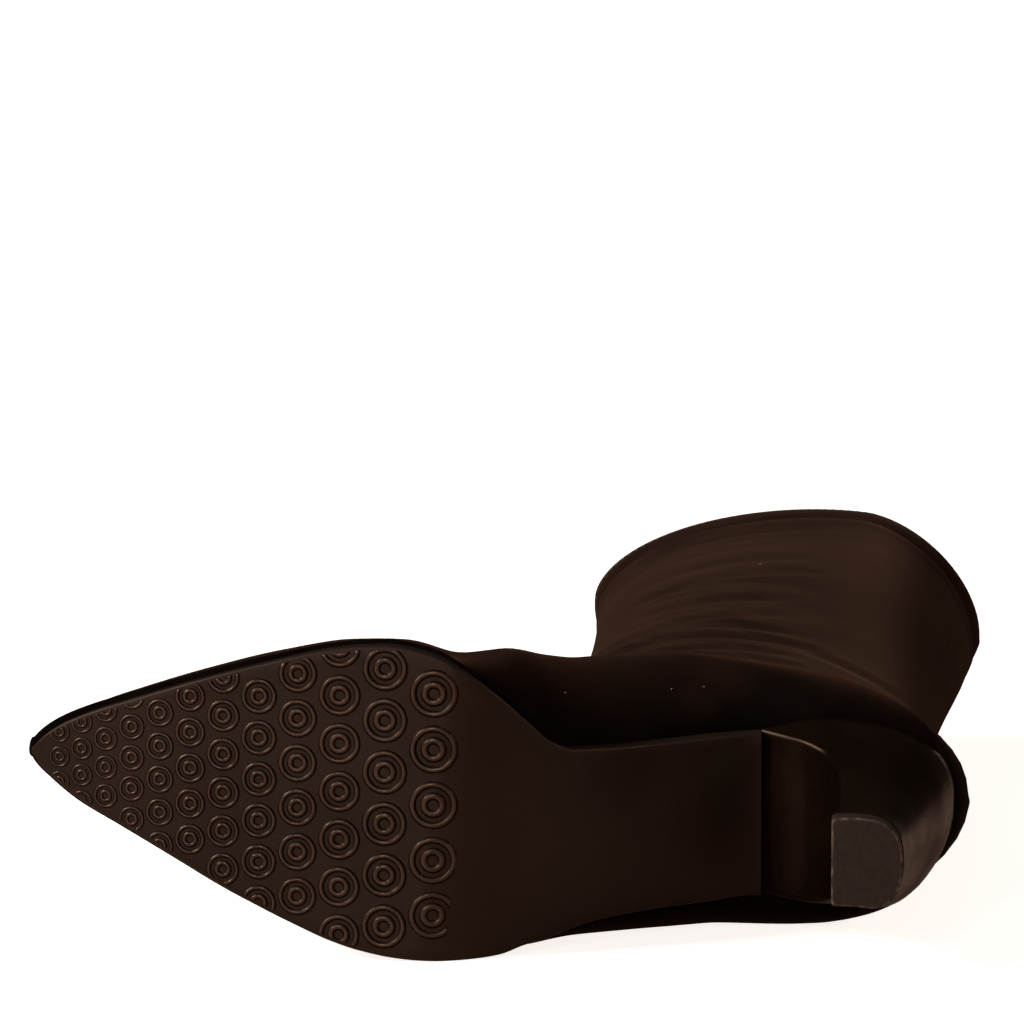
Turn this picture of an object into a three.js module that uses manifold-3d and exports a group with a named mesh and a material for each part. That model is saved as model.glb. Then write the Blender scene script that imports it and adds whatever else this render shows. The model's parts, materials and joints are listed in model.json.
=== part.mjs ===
// A pull-on knee boot for the right foot: pointed toe, curved block heel, soft stretch leg.
// Sizes are in millimetres. Every piece is drawn as if the boot stood up: x runs forward from the back
// of the heel, y towards the inner side of the foot and z up from the ground. The finished boot is then
// laid on its outer side, +Z up, the way it comes to rest by itself.
import * as THREE from "three";
import { mergeVertices } from "three/addons/utils/BufferGeometryUtils.js";
import { ConvexHull } from "three/addons/math/ConvexHull.js";
import Module from "manifold-3d";

const wasm = await Module();
wasm.setup();

// Driving sizes of the foot part
const FOOT_LENGTH = 253; // back of the heel to the tip of the toe
const SEAT_LENGTH = 57; // back of the heel to the heel breast
const BALL_WIDTH = 83; // outsole across the ball
const SEAT_WIDTH = 52; // heel seat at its widest
const HEEL_HEIGHT = 60; // ground to the underside of the heel seat, at mid seat
const TOE_SPRING = 9; // lift of the outsole at the tip of the toe
const FRONT_RISE = 146; // sole to the front top edge of the foot part
const BACK_RISE = 44; // heel seat to the back top edge of the foot part
const HEEL_SWING = 0.135; // turn of the heel in plan against the line of the foot, as a slope

// Driving sizes of the leg
const LEG_HEIGHT = 395; // heel seat to the collar
const ANKLE_DEPTH = 112; // front to back where the leg starts
const ANKLE_WIDTH = 65; // across where the leg starts
const COLLAR_DEPTH = 143; // front to back at the collar
const COLLAR_WIDTH = 94.5; // across at the collar
const HEM_HEIGHT = 22; // turned band below the collar edge

// Driving sizes of the sole and heel
const OUTSOLE_THICKNESS = 3.5;
const OUTSOLE_BEVEL = 0.8; // slant of the outsole edge
const INSOLE_THICKNESS = 2;
const TOP_PIECE_HEIGHT = 5.6; // the wearing piece under the heel
const TOP_PIECE_LENGTH = 18.8;
const TOP_PIECE_WIDTH = 25.6;
const TOP_PIECE_SETBACK = 17.9; // back of the boot to the back of the top piece
const TOP_PIECE_BEVEL = 0.5;
const BREAST_HOLLOW = 1.4; // how far the heel breast is scooped

// Walls and clearances
const UPPER_WALL = 1.8; // suede, lining and stiffener of the foot part
const LEG_WALL = 1.3; // stretch suede of the leg
const HEM_WALL = 2.2; // doubled at the turned band
const CLEARANCE = 0.3; // between pieces that are stitched or glued together
const INSOLE_PLAY = 2.4; // round the edge of the insole
const LASTING_MARGIN = 13; // edge of the upper turned under the insole
const UPPER_OVERHANG_INNER = 1.1; // upper beyond the outsole at the ball, inner side
const UPPER_OVERHANG = 0.9; // the same elsewhere
const BALL_SETBACK = 0.4; // upper behind the edge of the outsole at the outer ball, which the boot lies on
const TOE_OVERHANG = 1.8; // upper beyond the tip of the outsole

// Densities, g/cm3, used only to find how the boot lies
const DENSITY = { outsole: 1.15, heel: 1.05, top_piece: 1.15, upper: 0.85, leg: 0.55, insole: 0.9 };

// Heights of the underside of the sole. `at` is 0 at the back, 1 at the heel breast and 2 at the toe tip.
// `heel` is a share of HEEL_HEIGHT and `spring` a share of TOE_SPRING.
const SOLE_LINE = [
  { at: -0.105, heel: 1.07, spring: 0 },
  { at: 0, heel: 1.056, spring: 0 },
  { at: 0.439, heel: 1.0, spring: 0 },
  { at: 0.877, heel: 0.944, spring: 0 },
  { at: 1.0, heel: 0.925, spring: 0 },
  { at: 1.092, heel: 0.758, spring: 0 },
  { at: 1.194, heel: 0.517, spring: 0 },
  { at: 1.27, heel: 0.295, spring: 0 },
  { at: 1.321, heel: 0.158, spring: 0 },
  { at: 1.372, heel: 0.055, spring: 0 },
  { at: 1.408, heel: 0.015, spring: 0 },
  { at: 1.439, heel: 0, spring: 0 },
  { at: 1.602, heel: 0, spring: 0 },
  { at: 1.73, heel: 0, spring: 0.13 },
  { at: 1.857, heel: 0, spring: 0.44 },
  { at: 2.0, heel: 0, spring: 1 },
];

// Outline of the sole and heel seat. `inner` and `outer` are shares of the width of the sole there, which
// goes from SEAT_WIDTH at the breast to BALL_WIDTH at the ball.
const OUTLINE = [
  { at: 0.06, inner: 0.15, outer: 0.15 },
  { at: 0.077, inner: 0.275, outer: 0.035 },
  { at: 0.123, inner: 0.385, outer: -0.09 },
  { at: 0.21, inner: 0.473, outer: -0.23 },
  { at: 0.351, inner: 0.527, outer: -0.36 },
  { at: 0.526, inner: 0.537, outer: -0.437 },
  { at: 0.702, inner: 0.508, outer: -0.463 },
  { at: 0.86, inner: 0.458, outer: -0.469 },
  { at: 1, inner: 0.413, outer: -0.462 },
  { at: 1.071, inner: 0.366, outer: -0.487 },
  { at: 1.148, inner: 0.302, outer: -0.488 },
  { at: 1.214, inner: 0.257, outer: -0.49 },
  { at: 1.26, inner: 0.238, outer: -0.511 },
  { at: 1.291, inner: 0.259, outer: -0.515 },
  { at: 1.321, inner: 0.313, outer: -0.528 },
  { at: 1.367, inner: 0.39, outer: -0.522 },
  { at: 1.418, inner: 0.448, outer: -0.517 },
  { at: 1.464, inner: 0.48, outer: -0.514 },
  { at: 1.51, inner: 0.49, outer: -0.506 },
  { at: 1.551, inner: 0.478, outer: -0.488 },
  { at: 1.597, inner: 0.451, outer: -0.456 },
  { at: 1.684, inner: 0.375, outer: -0.386 },
  { at: 1.77, inner: 0.29, outer: -0.303 },
  { at: 1.857, inner: 0.193, outer: -0.222 },
  { at: 1.918, inner: 0.122, outer: -0.168 },
  { at: 1.959, inner: 0.061, outer: -0.113 },
  { at: 1.982, inner: 0.01, outer: -0.075 },
  { at: 1.993, inner: -0.028, outer: -0.044 },
];
const BALL_AT = 1.474; // where the sole has its full width
const PAST_BALL = 1.75; // where the overhang of the outer side is the same as elsewhere again
const INSOLE_FROM = 0.1; // back and front end of the insole
const INSOLE_TO = 1.95;
const OPENING_FROM = 0.4; // back and front end of the opening in the underside of the upper
const OPENING_TO = 1.8;

// Sections of the foot part from toe to ankle, each a slice from a point of the sole or of the back of the
// heel up to a point of the instep. `under` and `over` are places along the foot as above. `rise` is the
// top of the slice above the sole, a share of FRONT_RISE. `back`, once the slices leave the seat, is the
// height of the low end above the seat, a share of BACK_RISE, and `seam` the side of the back line.
// `inner` and `outer` are the widest places, shares of the ball width or, as `ankle` goes to 1, of the
// ankle width, and `level` is how far up the slice they are. `ridge` is the side of the instep line.
// `low` and `high` are the roundness below and above the widest place: 2 is an ellipse. `lieLevel`,
// `lieLow` and `lieHigh` are the same for the outer side, which lies down.
const FOOT = [
  { under: 1.998, over: 1.996, rise: 0.051, inner: -0.036, outer: -0.056, ankle: 0, ridge: -0.034,
    level: 0.5, low: 1.6, high: 2, lieLevel: 0.5, lieLow: 1.6, lieHigh: 2 },
  { under: 1.988, over: 1.984, rise: 0.07, inner: -0.014, outer: -0.09, ankle: 0, ridge: -0.03, level: 0.45,
    low: 1.6, high: 2, lieLevel: 0.45, lieLow: 1.6, lieHigh: 2 },
  { under: 1.964, over: 1.956, rise: 0.092, inner: 0.05, outer: -0.135, ankle: 0, ridge: -0.022,
    level: 0.42, low: 1.6, high: 2, lieLevel: 0.42, lieLow: 1.6, lieHigh: 2 },
  { under: 1.918, over: 1.903, rise: 0.117, inner: 0.141, outer: -0.192, ankle: 0, ridge: -0.014,
    level: 0.4, low: 1.6, high: 2, lieLevel: 0.4, lieLow: 1.6, lieHigh: 2 },
  { under: 1.857, over: 1.834, rise: 0.142, inner: 0.219, outer: -0.247, ankle: 0, ridge: -0.005,
    level: 0.38, low: 1.6, high: 2, lieLevel: 0.38, lieLow: 1.6, lieHigh: 2 },
  { under: 1.77, over: 1.74, rise: 0.173, inner: 0.316, outer: -0.328, ankle: 0, ridge: 0.008, level: 0.35,
    low: 1.6, high: 2, lieLevel: 0.35, lieLow: 1.6, lieHigh: 2 },
  { under: 1.684, over: 1.643, rise: 0.212, inner: 0.399, outer: -0.414, ankle: 0, ridge: 0.024,
    level: 0.33, low: 1.6, high: 2, lieLevel: 0.33, lieLow: 1.6, lieHigh: 2 },
  { under: 1.597, over: 1.548, rise: 0.267, inner: 0.46, outer: -0.48, ankle: 0, ridge: 0.036, level: 0.3,
    low: 1.6, high: 2, lieLevel: 0.3, lieLow: 1.6, lieHigh: 2 },
  { under: 1.526, over: 1.474, rise: 0.332, inner: 0.476, outer: -0.515, ankle: 0, ridge: 0.041, level: 0.3,
    low: 1.6, high: 1.95, lieLevel: 0.3, lieLow: 1.6, lieHigh: 1.95 },
  { under: 1.454, over: 1.418, rise: 0.403, inner: 0.447, outer: -0.517, ankle: 0, ridge: 0.039,
    level: 0.32, low: 1.6, high: 1.9, lieLevel: 0.31, lieLow: 1.6, lieHigh: 1.9 },
  { under: 1.378, over: 1.372, rise: 0.466, inner: 0.462, outer: -0.516, ankle: 0, ridge: 0.036,
    level: 0.38, low: 1.65, high: 1.85, lieLevel: 0.3, lieLow: 1.65, lieHigh: 1.85 },
  { under: 1.306, over: 1.339, rise: 0.528, inner: 0.486, outer: -0.574, ankle: 0.55, ridge: 0.036,
    level: 0.45, low: 1.7, high: 1.85, lieLevel: 0.28, lieLow: 1.7, lieHigh: 1.85 },
  { under: 1.23, over: 1.316, rise: 0.584, inner: 0.524, outer: -0.62, ankle: 1, ridge: 0.034, level: 0.45,
    low: 1.7, high: 1.85, lieLevel: 0.24, lieLow: 1.7, lieHigh: 1.85 },
  { under: 1.148, over: 1.304, rise: 0.642, inner: 0.528, outer: -0.603, ankle: 1, ridge: 0.031,
    level: 0.42, low: 1.7, high: 1.9, lieLevel: 0.22, lieLow: 1.7, lieHigh: 1.9 },
  { under: 1.061, over: 1.297, rise: 0.699, inner: 0.54, outer: -0.583, ankle: 1, ridge: 0.028, level: 0.36,
    low: 1.7, high: 1.85, lieLevel: 0.22, lieLow: 1.7, lieHigh: 1.85 },
  { under: 1, over: 1.295, rise: 0.734, inner: 0.555, outer: -0.57, ankle: 1, ridge: 0.026, level: 0.32,
    low: 1.7, high: 1.8, lieLevel: 0.23, lieLow: 1.7, lieHigh: 1.8 },
  { under: 0.754, over: 1.293, rise: 0.776, inner: 0.557, outer: -0.56, ankle: 1, ridge: 0.025, level: 0.28,
    low: 1.75, high: 1.75, lieLevel: 0.25, lieLow: 1.7, lieHigh: 1.75 },
  { under: 0.526, over: 1.292, rise: 0.808, inner: 0.552, outer: -0.545, ankle: 1, ridge: 0.024,
    level: 0.26, low: 1.8, high: 1.7, lieLevel: 0.26, lieLow: 1.65, lieHigh: 1.8 },
  { under: 0.316, over: 1.291, rise: 0.838, inner: 0.542, outer: -0.525, ankle: 1, ridge: 0.023,
    level: 0.26, low: 1.9, high: 1.7, lieLevel: 0.28, lieLow: 1.6, lieHigh: 1.9 },
  { under: 0.149, over: 1.291, rise: 0.868, inner: 0.533, outer: -0.514, ankle: 1, ridge: 0.022,
    level: 0.28, low: 2.1, high: 1.7, lieLevel: 0.3, lieLow: 1.6, lieHigh: 2.1 },
  { under: 0.063, back: 0.18, seam: 0.1, over: 1.291, rise: 0.893, inner: 0.52, outer: -0.507, ankle: 1,
    ridge: 0.021, level: 0.32, low: 2.35, high: 1.75, lieLevel: 0.34, lieLow: 1.6, lieHigh: 2.3 },
  { under: 0.014, back: 0.29, seam: 0.092, over: 1.292, rise: 0.917, inner: 0.497, outer: -0.505, ankle: 1,
    ridge: 0.02, level: 0.37, low: 2.35, high: 1.8, lieLevel: 0.38, lieLow: 1.65, lieHigh: 2.3 },
  { under: -0.007, back: 0.48, seam: 0.085, over: 1.294, rise: 0.941, inner: 0.471, outer: -0.504, ankle: 1,
    ridge: 0.018, level: 0.42, low: 2.35, high: 1.9, lieLevel: 0.43, lieLow: 1.7, lieHigh: 2.3 },
  { under: 0.004, back: 0.73, seam: 0.077, over: 1.296, rise: 0.969, inner: 0.444, outer: -0.505, ankle: 1,
    ridge: 0.015, level: 0.46, low: 2.3, high: 2, lieLevel: 0.46, lieLow: 1.8, lieHigh: 2.3 },
  { under: 0.039, back: 1, seam: 0.068, over: 1.299, rise: 1, inner: 0.42, outer: -0.505, ankle: 1,
    ridge: 0.012, level: 0.49, low: 2.25, high: 2.05, lieLevel: 0.49, lieLow: 1.85, lieHigh: 2.25 },
];

// Sections of the leg from ankle to collar. `height` runs from the top edge of the foot part, 0, to the
// collar, 1. `depth` and `inner`, `outer`, `seam` and `ridge` are shares of the depth and width of the
// leg there, which go from the ankle's to the collar's. `middle` is the shift of the slice's middle from
// that of the ankle, a share of the collar depth. The rest is as for the foot.
const LEG = [
  { height: 0.04, depth: 0.983, middle: 0.017, inner: 0.4, outer: -0.498, seam: 0.054, ridge: 0.01,
    level: 0.5, low: 2.2, high: 2.1, lieLevel: 0.5, lieLow: 1.75, lieHigh: 2.1 },
  { height: 0.087, depth: 0.955, middle: 0.028, inner: 0.376, outer: -0.489, seam: 0.038, ridge: 0.006,
    level: 0.5, low: 2.15, high: 2.1, lieLevel: 0.5, lieLow: 1.7, lieHigh: 2.1 },
  { height: 0.14, depth: 0.938, middle: 0.033, inner: 0.366, outer: -0.486, seam: 0.023, ridge: 0.001,
    level: 0.5, low: 2.1, high: 2.1, lieLevel: 0.5, lieLow: 1.65, lieHigh: 2.15 },
  { height: 0.205, depth: 0.928, middle: 0.032, inner: 0.366, outer: -0.49, seam: 0.008, ridge: -0.006,
    level: 0.49, low: 2.1, high: 2.1, lieLevel: 0.5, lieLow: 1.65, lieHigh: 2.25 },
  { height: 0.29, depth: 0.922, middle: 0.031, inner: 0.375, outer: -0.522, seam: -0.008, ridge: -0.018,
    level: 0.47, low: 2.1, high: 2.1, lieLevel: 0.5, lieLow: 1.65, lieHigh: 2.4 },
  { height: 0.4, depth: 0.924, middle: 0.0265, inner: 0.388, outer: -0.568, seam: -0.034, ridge: -0.04,
    level: 0.44, low: 2.05, high: 2.05, lieLevel: 0.5, lieLow: 1.65, lieHigh: 2.4 },
  { height: 0.54, depth: 0.934, middle: 0.02, inner: 0.395, outer: -0.62, seam: -0.062, ridge: -0.07,
    level: 0.4, low: 2, high: 1.97, lieLevel: 0.5, lieLow: 1.65, lieHigh: 2.35 },
  { height: 0.685, depth: 0.95, middle: 0.012, inner: 0.386, outer: -0.634, seam: -0.082, ridge: -0.096,
    level: 0.365, low: 1.9, high: 1.87, lieLevel: 0.5, lieLow: 1.62, lieHigh: 2.3 },
  { height: 0.815, depth: 0.96, middle: 0.006, inner: 0.373, outer: -0.642, seam: -0.097, ridge: -0.116,
    level: 0.345, low: 1.8, high: 1.8, lieLevel: 0.5, lieLow: 1.6, lieHigh: 2.2 },
  { height: 0.9, depth: 0.953, middle: 0.004, inner: 0.366, outer: -0.64, seam: -0.104, ridge: -0.124,
    level: 0.335, low: 1.74, high: 1.78, lieLevel: 0.5, lieLow: 1.58, lieHigh: 2.1 },
  { height: 0.937, depth: 0.945, middle: 0.003, inner: 0.363, outer: -0.638, seam: -0.105, ridge: -0.126,
    level: 0.33, low: 1.72, high: 1.77, lieLevel: 0.5, lieLow: 1.56, lieHigh: 2 },
  { height: 0.967, depth: 0.965, middle: 0.004, inner: 0.355, outer: -0.642, seam: -0.103, ridge: -0.127,
    level: 0.33, low: 1.72, high: 1.77, lieLevel: 0.5, lieLow: 1.55, lieHigh: 1.95 },
  { height: 1, depth: 0.996, middle: 0.006, inner: 0.346, outer: -0.65, seam: -0.1, ridge: -0.128,
    level: 0.33, low: 1.7, high: 1.77, lieLevel: 0.5, lieLow: 1.54, lieHigh: 1.9 },
];

// Sections of the heel block, `down` from the seat to the top piece. `front` and `back` are the breast and
// the back, shares of lengths that go from the seat's to the top piece's. Widths are shares of a width that
// goes from SEAT_WIDTH to TOP_PIECE_WIDTH: at the edge of the breast, at the widest place and at the back.
// `innerRound` and `outerRound` say how full each side is from the widest place to the back (2 is an ellipse).
const HEEL = [
  { down: 0, front: 1, back: 0.2, inner: 0.415, outer: -0.455, innerWide: 0.532, outerWide: -0.458,
    rear: 0.153, innerRound: 2.45, outerRound: 1.85 },
  { down: 0.07, front: 0.917, back: 0.223, inner: 0.429, outer: -0.467, innerWide: 0.54, outerWide: -0.46,
    rear: 0.151, innerRound: 2.45, outerRound: 1.8 },
  { down: 0.145, front: 0.813, back: 0.28, inner: 0.44, outer: -0.474, innerWide: 0.537, outerWide: -0.456,
    rear: 0.145, innerRound: 2.4, outerRound: 1.7 },
  { down: 0.24, front: 0.745, back: 0.363, inner: 0.436, outer: -0.462, innerWide: 0.523, outerWide: -0.438,
    rear: 0.135, innerRound: 2.35, outerRound: 1.6 },
  { down: 0.39, front: 0.733, back: 0.53, inner: 0.43, outer: -0.441, innerWide: 0.496, outerWide: -0.413,
    rear: 0.119, innerRound: 2.3, outerRound: 1.55 },
  { down: 0.6, front: 0.777, back: 0.726, inner: 0.424, outer: -0.413, innerWide: 0.468, outerWide: -0.387,
    rear: 0.105, innerRound: 2.3, outerRound: 1.65 },
  { down: 0.83, front: 0.873, back: 0.894, inner: 0.432, outer: -0.405, innerWide: 0.472, outerWide: -0.38,
    rear: 0.093, innerRound: 2.4, outerRound: 2 },
  { down: 1, front: 0.99, back: 0.985, inner: 0.473, outer: -0.437, innerWide: 0.52, outerWide: -0.406,
    rear: 0.094, innerRound: 2.7, outerRound: 2.3 },
];

// Points round a section
const LOW_STEPS = 5; // from the feather edge to the widest place
const HIGH_STEPS = 8; // from the widest place to the ridge
const SEAM_HALF = 1.5; // half width of the narrow strip down the back line
const HEEL_FRONT_STEPS = 3; // from the edge of the breast to the widest place
const HEEL_BACK_STEPS = 7; // from the widest place to the back
const BREAST_POINTS = [0.25, 0.5, 0.75]; // across the hollow of the breast
const HEEL_WIDEST = 0.5; // where the heel is widest, from its breast to its back

const mix = THREE.MathUtils.lerp;
const smooth = THREE.MathUtils.smoothstep;

// A place along the foot as a length from the back of the heel.
function along(at) {
  return at < 1 ? at * SEAT_LENGTH : SEAT_LENGTH + (at - 1) * (FOOT_LENGTH - SEAT_LENGTH);
}

// A smooth curve through rows of x and y that never swings past them and stays flat where they are level.
function curveThrough(points) {
  const gaps = points.slice(1).map((p, i) => p.x - points[i].x);
  const rates = points.slice(1).map((p, i) => (p.y - points[i].y) / gaps[i]);
  const slopes = points.map((p, i) => {
    if (i === 0) return rates[0];
    if (i === points.length - 1) return rates[i - 1];
    if (rates[i - 1] * rates[i] <= 0) return 0;
    const before = 2 * gaps[i] + gaps[i - 1];
    const after = gaps[i] + 2 * gaps[i - 1];
    return (before + after) / (before / rates[i - 1] + after / rates[i]);
  });
  return (x) => {
    let i = 0;
    while (i < gaps.length - 1 && x > points[i + 1].x) i += 1;
    const t = (x - points[i].x) / gaps[i];
    const rise = points[i + 1].y - points[i].y;
    const bend = (slopes[i] + slopes[i + 1]) * gaps[i] - 2 * rise;
    return points[i].y + t * (slopes[i] * gaps[i] + t * (rise - slopes[i] * gaps[i] - bend + t * bend));
  };
}

const soleHeight = curveThrough(
  SOLE_LINE.map((row) => ({ x: along(row.at), y: row.heel * HEEL_HEIGHT + row.spring * TOE_SPRING })),
);

// Width of the sole that the shares of its outline refer to.
function soleWidth(x) {
  return mix(SEAT_WIDTH, BALL_WIDTH, smooth(x, SEAT_LENGTH, along(BALL_AT)));
}

const edge = {
  inner: curveThrough(OUTLINE.map((row) => ({ x: along(row.at), y: row.inner * soleWidth(along(row.at)) }))),
  outer: curveThrough(OUTLINE.map((row) => ({ x: along(row.at), y: row.outer * soleWidth(along(row.at)) }))),
};

// A point of the line that runs `depth` above the underside of the sole, square to it.
function aboveSole(x, depth) {
  const step = 0.5;
  const slope = (soleHeight(x + step) - soleHeight(x - step)) / (2 * step);
  const length = Math.hypot(1, slope);
  return { x: x - (depth * slope) / length, z: soleHeight(x) + depth / length };
}

// The heel and the seat are turned in plan against the forefoot. The turn fades out along the waist and up
// the ankle.
const SWING_END = 1.27; // place along the foot where no turn is left
const SWING_TOP = 1.5; // the same up the leg, as a share of the heel height above the seat
function place(x, y, z) {
  const alongFoot = 1 - smooth(x, SEAT_LENGTH, along(SWING_END));
  const upLeg = 1 - smooth(z, HEEL_HEIGHT * SWING_TOP, HEEL_HEIGHT * (1 + SWING_TOP));
  return [x + HEEL_SWING * alongFoot * upLeg * y, y, z];
}

// The edge of the upper's underside: the outline of the sole with the upper's overhang.
function featherEdge(x) {
  const atToe = smooth(x, along(BALL_AT), FOOT_LENGTH);
  const soleX = x - TOE_OVERHANG * atToe;
  const atBall = smooth(x, SEAT_LENGTH, along(BALL_AT));
  const pastBall = smooth(x, along(BALL_AT), along(PAST_BALL));
  const inner = mix(UPPER_OVERHANG, UPPER_OVERHANG_INNER, atBall);
  const outer = mix(UPPER_OVERHANG, -BALL_SETBACK, atBall * (1 - pastBall));
  return { inner: edge.inner(soleX) + inner, outer: edge.outer(soleX) - outer };
}

// How the two sides of a section are rounded. The outer side is the one that lies down.
function roundness(row) {
  return {
    up: { level: row.level, low: row.low, high: row.high },
    lie: { level: row.lieLevel, low: row.lieLow, high: row.lieHigh },
  };
}

// Every section of the outside of the boot, toe to collar, in millimetres.
const footTop = LEG_HEIGHT + HEEL_HEIGHT;
const footSections = FOOT.map((row) => {
  const x = along(row.under);
  const width = mix(BALL_WIDTH, ANKLE_WIDTH, row.ankle);
  const overX = along(row.over);
  const onSole = row.back === undefined;
  const foot = onSole ? featherEdge(x) : null;
  const seam = onSole ? 0 : row.seam * ANKLE_WIDTH;
  return {
    under: onSole
      ? aboveSole(x, OUTSOLE_THICKNESS + CLEARANCE)
      : { x, z: HEEL_HEIGHT + row.back * BACK_RISE },
    station: onSole ? x : null,
    over: { x: overX, z: soleHeight(overX) + row.rise * FRONT_RISE },
    innerFoot: onSole ? foot.inner : seam + SEAM_HALF,
    outerFoot: onSole ? foot.outer : seam - SEAM_HALF,
    inner: row.inner * width,
    outer: row.outer * width,
    ridge: row.ridge * BALL_WIDTH,
    ...roundness(row),
  };
});
const lastOfFoot = footSections[footSections.length - 1];
const ankleMiddle = (lastOfFoot.under.x + lastOfFoot.over.x) / 2;
const legSections = LEG.map((row) => {
  const depth = row.depth * mix(ANKLE_DEPTH, COLLAR_DEPTH, row.height);
  const width = mix(ANKLE_WIDTH, COLLAR_WIDTH, row.height);
  const middle = ankleMiddle + row.middle * COLLAR_DEPTH;
  return {
    under: { x: middle - depth / 2, z: mix(lastOfFoot.under.z, footTop, row.height) },
    station: null,
    over: { x: middle + depth / 2, z: mix(lastOfFoot.over.z, footTop, row.height) },
    innerFoot: row.seam * width + SEAM_HALF,
    outerFoot: row.seam * width - SEAM_HALF,
    inner: row.inner * width,
    outer: row.outer * width,
    ridge: row.ridge * width,
    ...roundness(row),
  };
});
const sections = [...footSections, ...legSections];

// One closed line of points round section `index`, `depth` inside the boot's outer surface.
function sectionRing(index, depth) {
  const before = sections[Math.max(index - 1, 0)];
  const after = sections[Math.min(index + 1, sections.length - 1)];
  const section = sections[index];
  const inward = (end, side) => {
    const dx = after[end].x - before[end].x;
    const dz = after[end].z - before[end].z;
    const length = Math.hypot(dx, dz);
    return {
      x: section[end].x + (side * depth * dz) / length,
      z: section[end].z - (side * depth * dx) / length,
    };
  };
  const under = inward("under", 1);
  const over = inward("over", -1);
  const at = (y, t) => place(mix(under.x, over.x, t), y, mix(under.z, over.z, t));
  const middle = (section.innerFoot + section.outerFoot) / 2;
  const half = (foot, wide, { level, low, high }) => {
    const points = [];
    points.push(at((middle + foot) / 2, 0));
    points.push(at(foot, 0));
    for (let i = 1; i <= LOW_STEPS; i += 1) {
      const angle = (Math.PI / 2) * (i / LOW_STEPS);
      const rise = level * (1 - Math.cos(angle) ** (2 / low));
      points.push(at(mix(foot, wide, Math.sin(angle) ** (2 / low)), rise));
    }
    for (let i = 1; i < HIGH_STEPS; i += 1) {
      const angle = (Math.PI / 2) * (i / HIGH_STEPS);
      const rise = mix(level, 1, Math.sin(angle) ** (2 / high));
      points.push(at(mix(section.ridge, wide, Math.cos(angle) ** (2 / high)), rise));
    }
    return points;
  };
  const narrower = Math.min(depth, (section.innerFoot - middle) / 2);
  const inner = half(section.innerFoot - narrower, section.inner - depth, section.up);
  const outer = half(section.outerFoot + narrower, section.outer + depth, section.lie);
  return [at(middle, 0), ...inner, at(section.ridge, 1), ...outer.reverse()];
}

function apart(positions, p, q) {
  return [0, 1, 2].reduce((sum, k) => sum + (positions[3 * p + k] - positions[3 * q + k]) ** 2, 0);
}

// A closed solid through rings of points with as many points each. The ends are closed to their middles,
// or the last ring is joined to the first.
function loft(rings, joined = false) {
  const count = rings[0].length;
  const positions = rings.flat(2);
  const index = [];
  const pairs = joined ? rings.length : rings.length - 1;
  for (let ring = 0; ring < pairs; ring += 1) {
    const a = ring * count;
    const b = ((ring + 1) % rings.length) * count;
    for (let i = 0; i < count; i += 1) {
      const [p, q, r, s] = [a + i, b + i, b + ((i + 1) % count), a + ((i + 1) % count)];
      // The shorter diagonal, so that two skins a wall apart are folded alike.
      if (apart(positions, p, r) < apart(positions, q, s)) index.push(p, q, r, p, r, s);
      else index.push(p, q, s, q, r, s);
    }
  }
  if (!joined) {
    for (const [ring, turned] of [[0, false], [rings.length - 1, true]]) {
      const centre = positions.length / 3;
      for (const axis of [0, 1, 2]) {
        positions.push(rings[ring].reduce((sum, point) => sum + point[axis], 0) / count);
      }
      for (let i = 0; i < count; i += 1) {
        const p = ring * count + i;
        const q = ring * count + ((i + 1) % count);
        index.push(...(turned ? [centre, q, p] : [centre, p, q]));
      }
    }
  }
  const geometry = new THREE.BufferGeometry();
  geometry.setAttribute("position", new THREE.Float32BufferAttribute(positions, 3));
  geometry.setIndex(index);
  return outward(geometry);
}

// Volume and middle of a closed geometry.
function massOf(geometry) {
  const p = geometry.getAttribute("position");
  const [a, b, c] = [new THREE.Vector3(), new THREE.Vector3(), new THREE.Vector3()];
  const middle = new THREE.Vector3();
  let volume = 0;
  for (let i = 0; i < geometry.index.count; i += 3) {
    a.fromBufferAttribute(p, geometry.index.getX(i));
    b.fromBufferAttribute(p, geometry.index.getX(i + 1));
    c.fromBufferAttribute(p, geometry.index.getX(i + 2));
    const part = a.dot(b.clone().cross(c)) / 6;
    volume += part;
    middle.addScaledVector(a.add(b).add(c), part / 4);
  }
  return { volume, middle: middle.divideScalar(volume) };
}

// The same geometry with its faces turned to point out.
function outward(geometry) {
  if (massOf(geometry).volume < 0) {
    geometry.index.array.reverse();
  }
  return geometry;
}

function toSolid(geometry) {
  const merged = mergeVertices(geometry, 1e-4);
  const triangles = [];
  for (let i = 0; i < merged.index.count; i += 3) {
    const [a, b, c] = [0, 1, 2].map((k) => merged.index.getX(i + k));
    if (a !== b && b !== c && c !== a) triangles.push(a, b, c);
  }
  return new wasm.Manifold(
    new wasm.Mesh({
      numProp: 3,
      vertProperties: new Float32Array(merged.getAttribute("position").array),
      triVerts: new Uint32Array(triangles),
    }),
  );
}

function toGeometry(solid) {
  const mesh = solid.getMesh();
  const geometry = new THREE.BufferGeometry();
  geometry.setAttribute("position", new THREE.Float32BufferAttribute(mesh.vertProperties, 3));
  geometry.setIndex(new THREE.BufferAttribute(mesh.triVerts, 1));
  return geometry;
}

// Places along the sole where every layer has a row of points, so that the layers stay parallel.
const stations = footSections.filter((section) => section.station !== null).map((section) => section.station);

// A layer between two depths above the underside of the sole. `outline` gives its edges at a place and how
// much narrower it is below.
function layer(places, low, high, outline) {
  return loft(
    places.map((x) => {
      const { inner, outer, bevel } = outline(x);
      const bottom = aboveSole(x, low);
      const top = aboveSole(x, high);
      return [
        place(bottom.x, inner - bevel, bottom.z),
        place(top.x, inner, top.z),
        place(top.x, outer, top.z),
        place(bottom.x, outer + bevel, bottom.z),
      ];
    }),
  );
}

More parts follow.
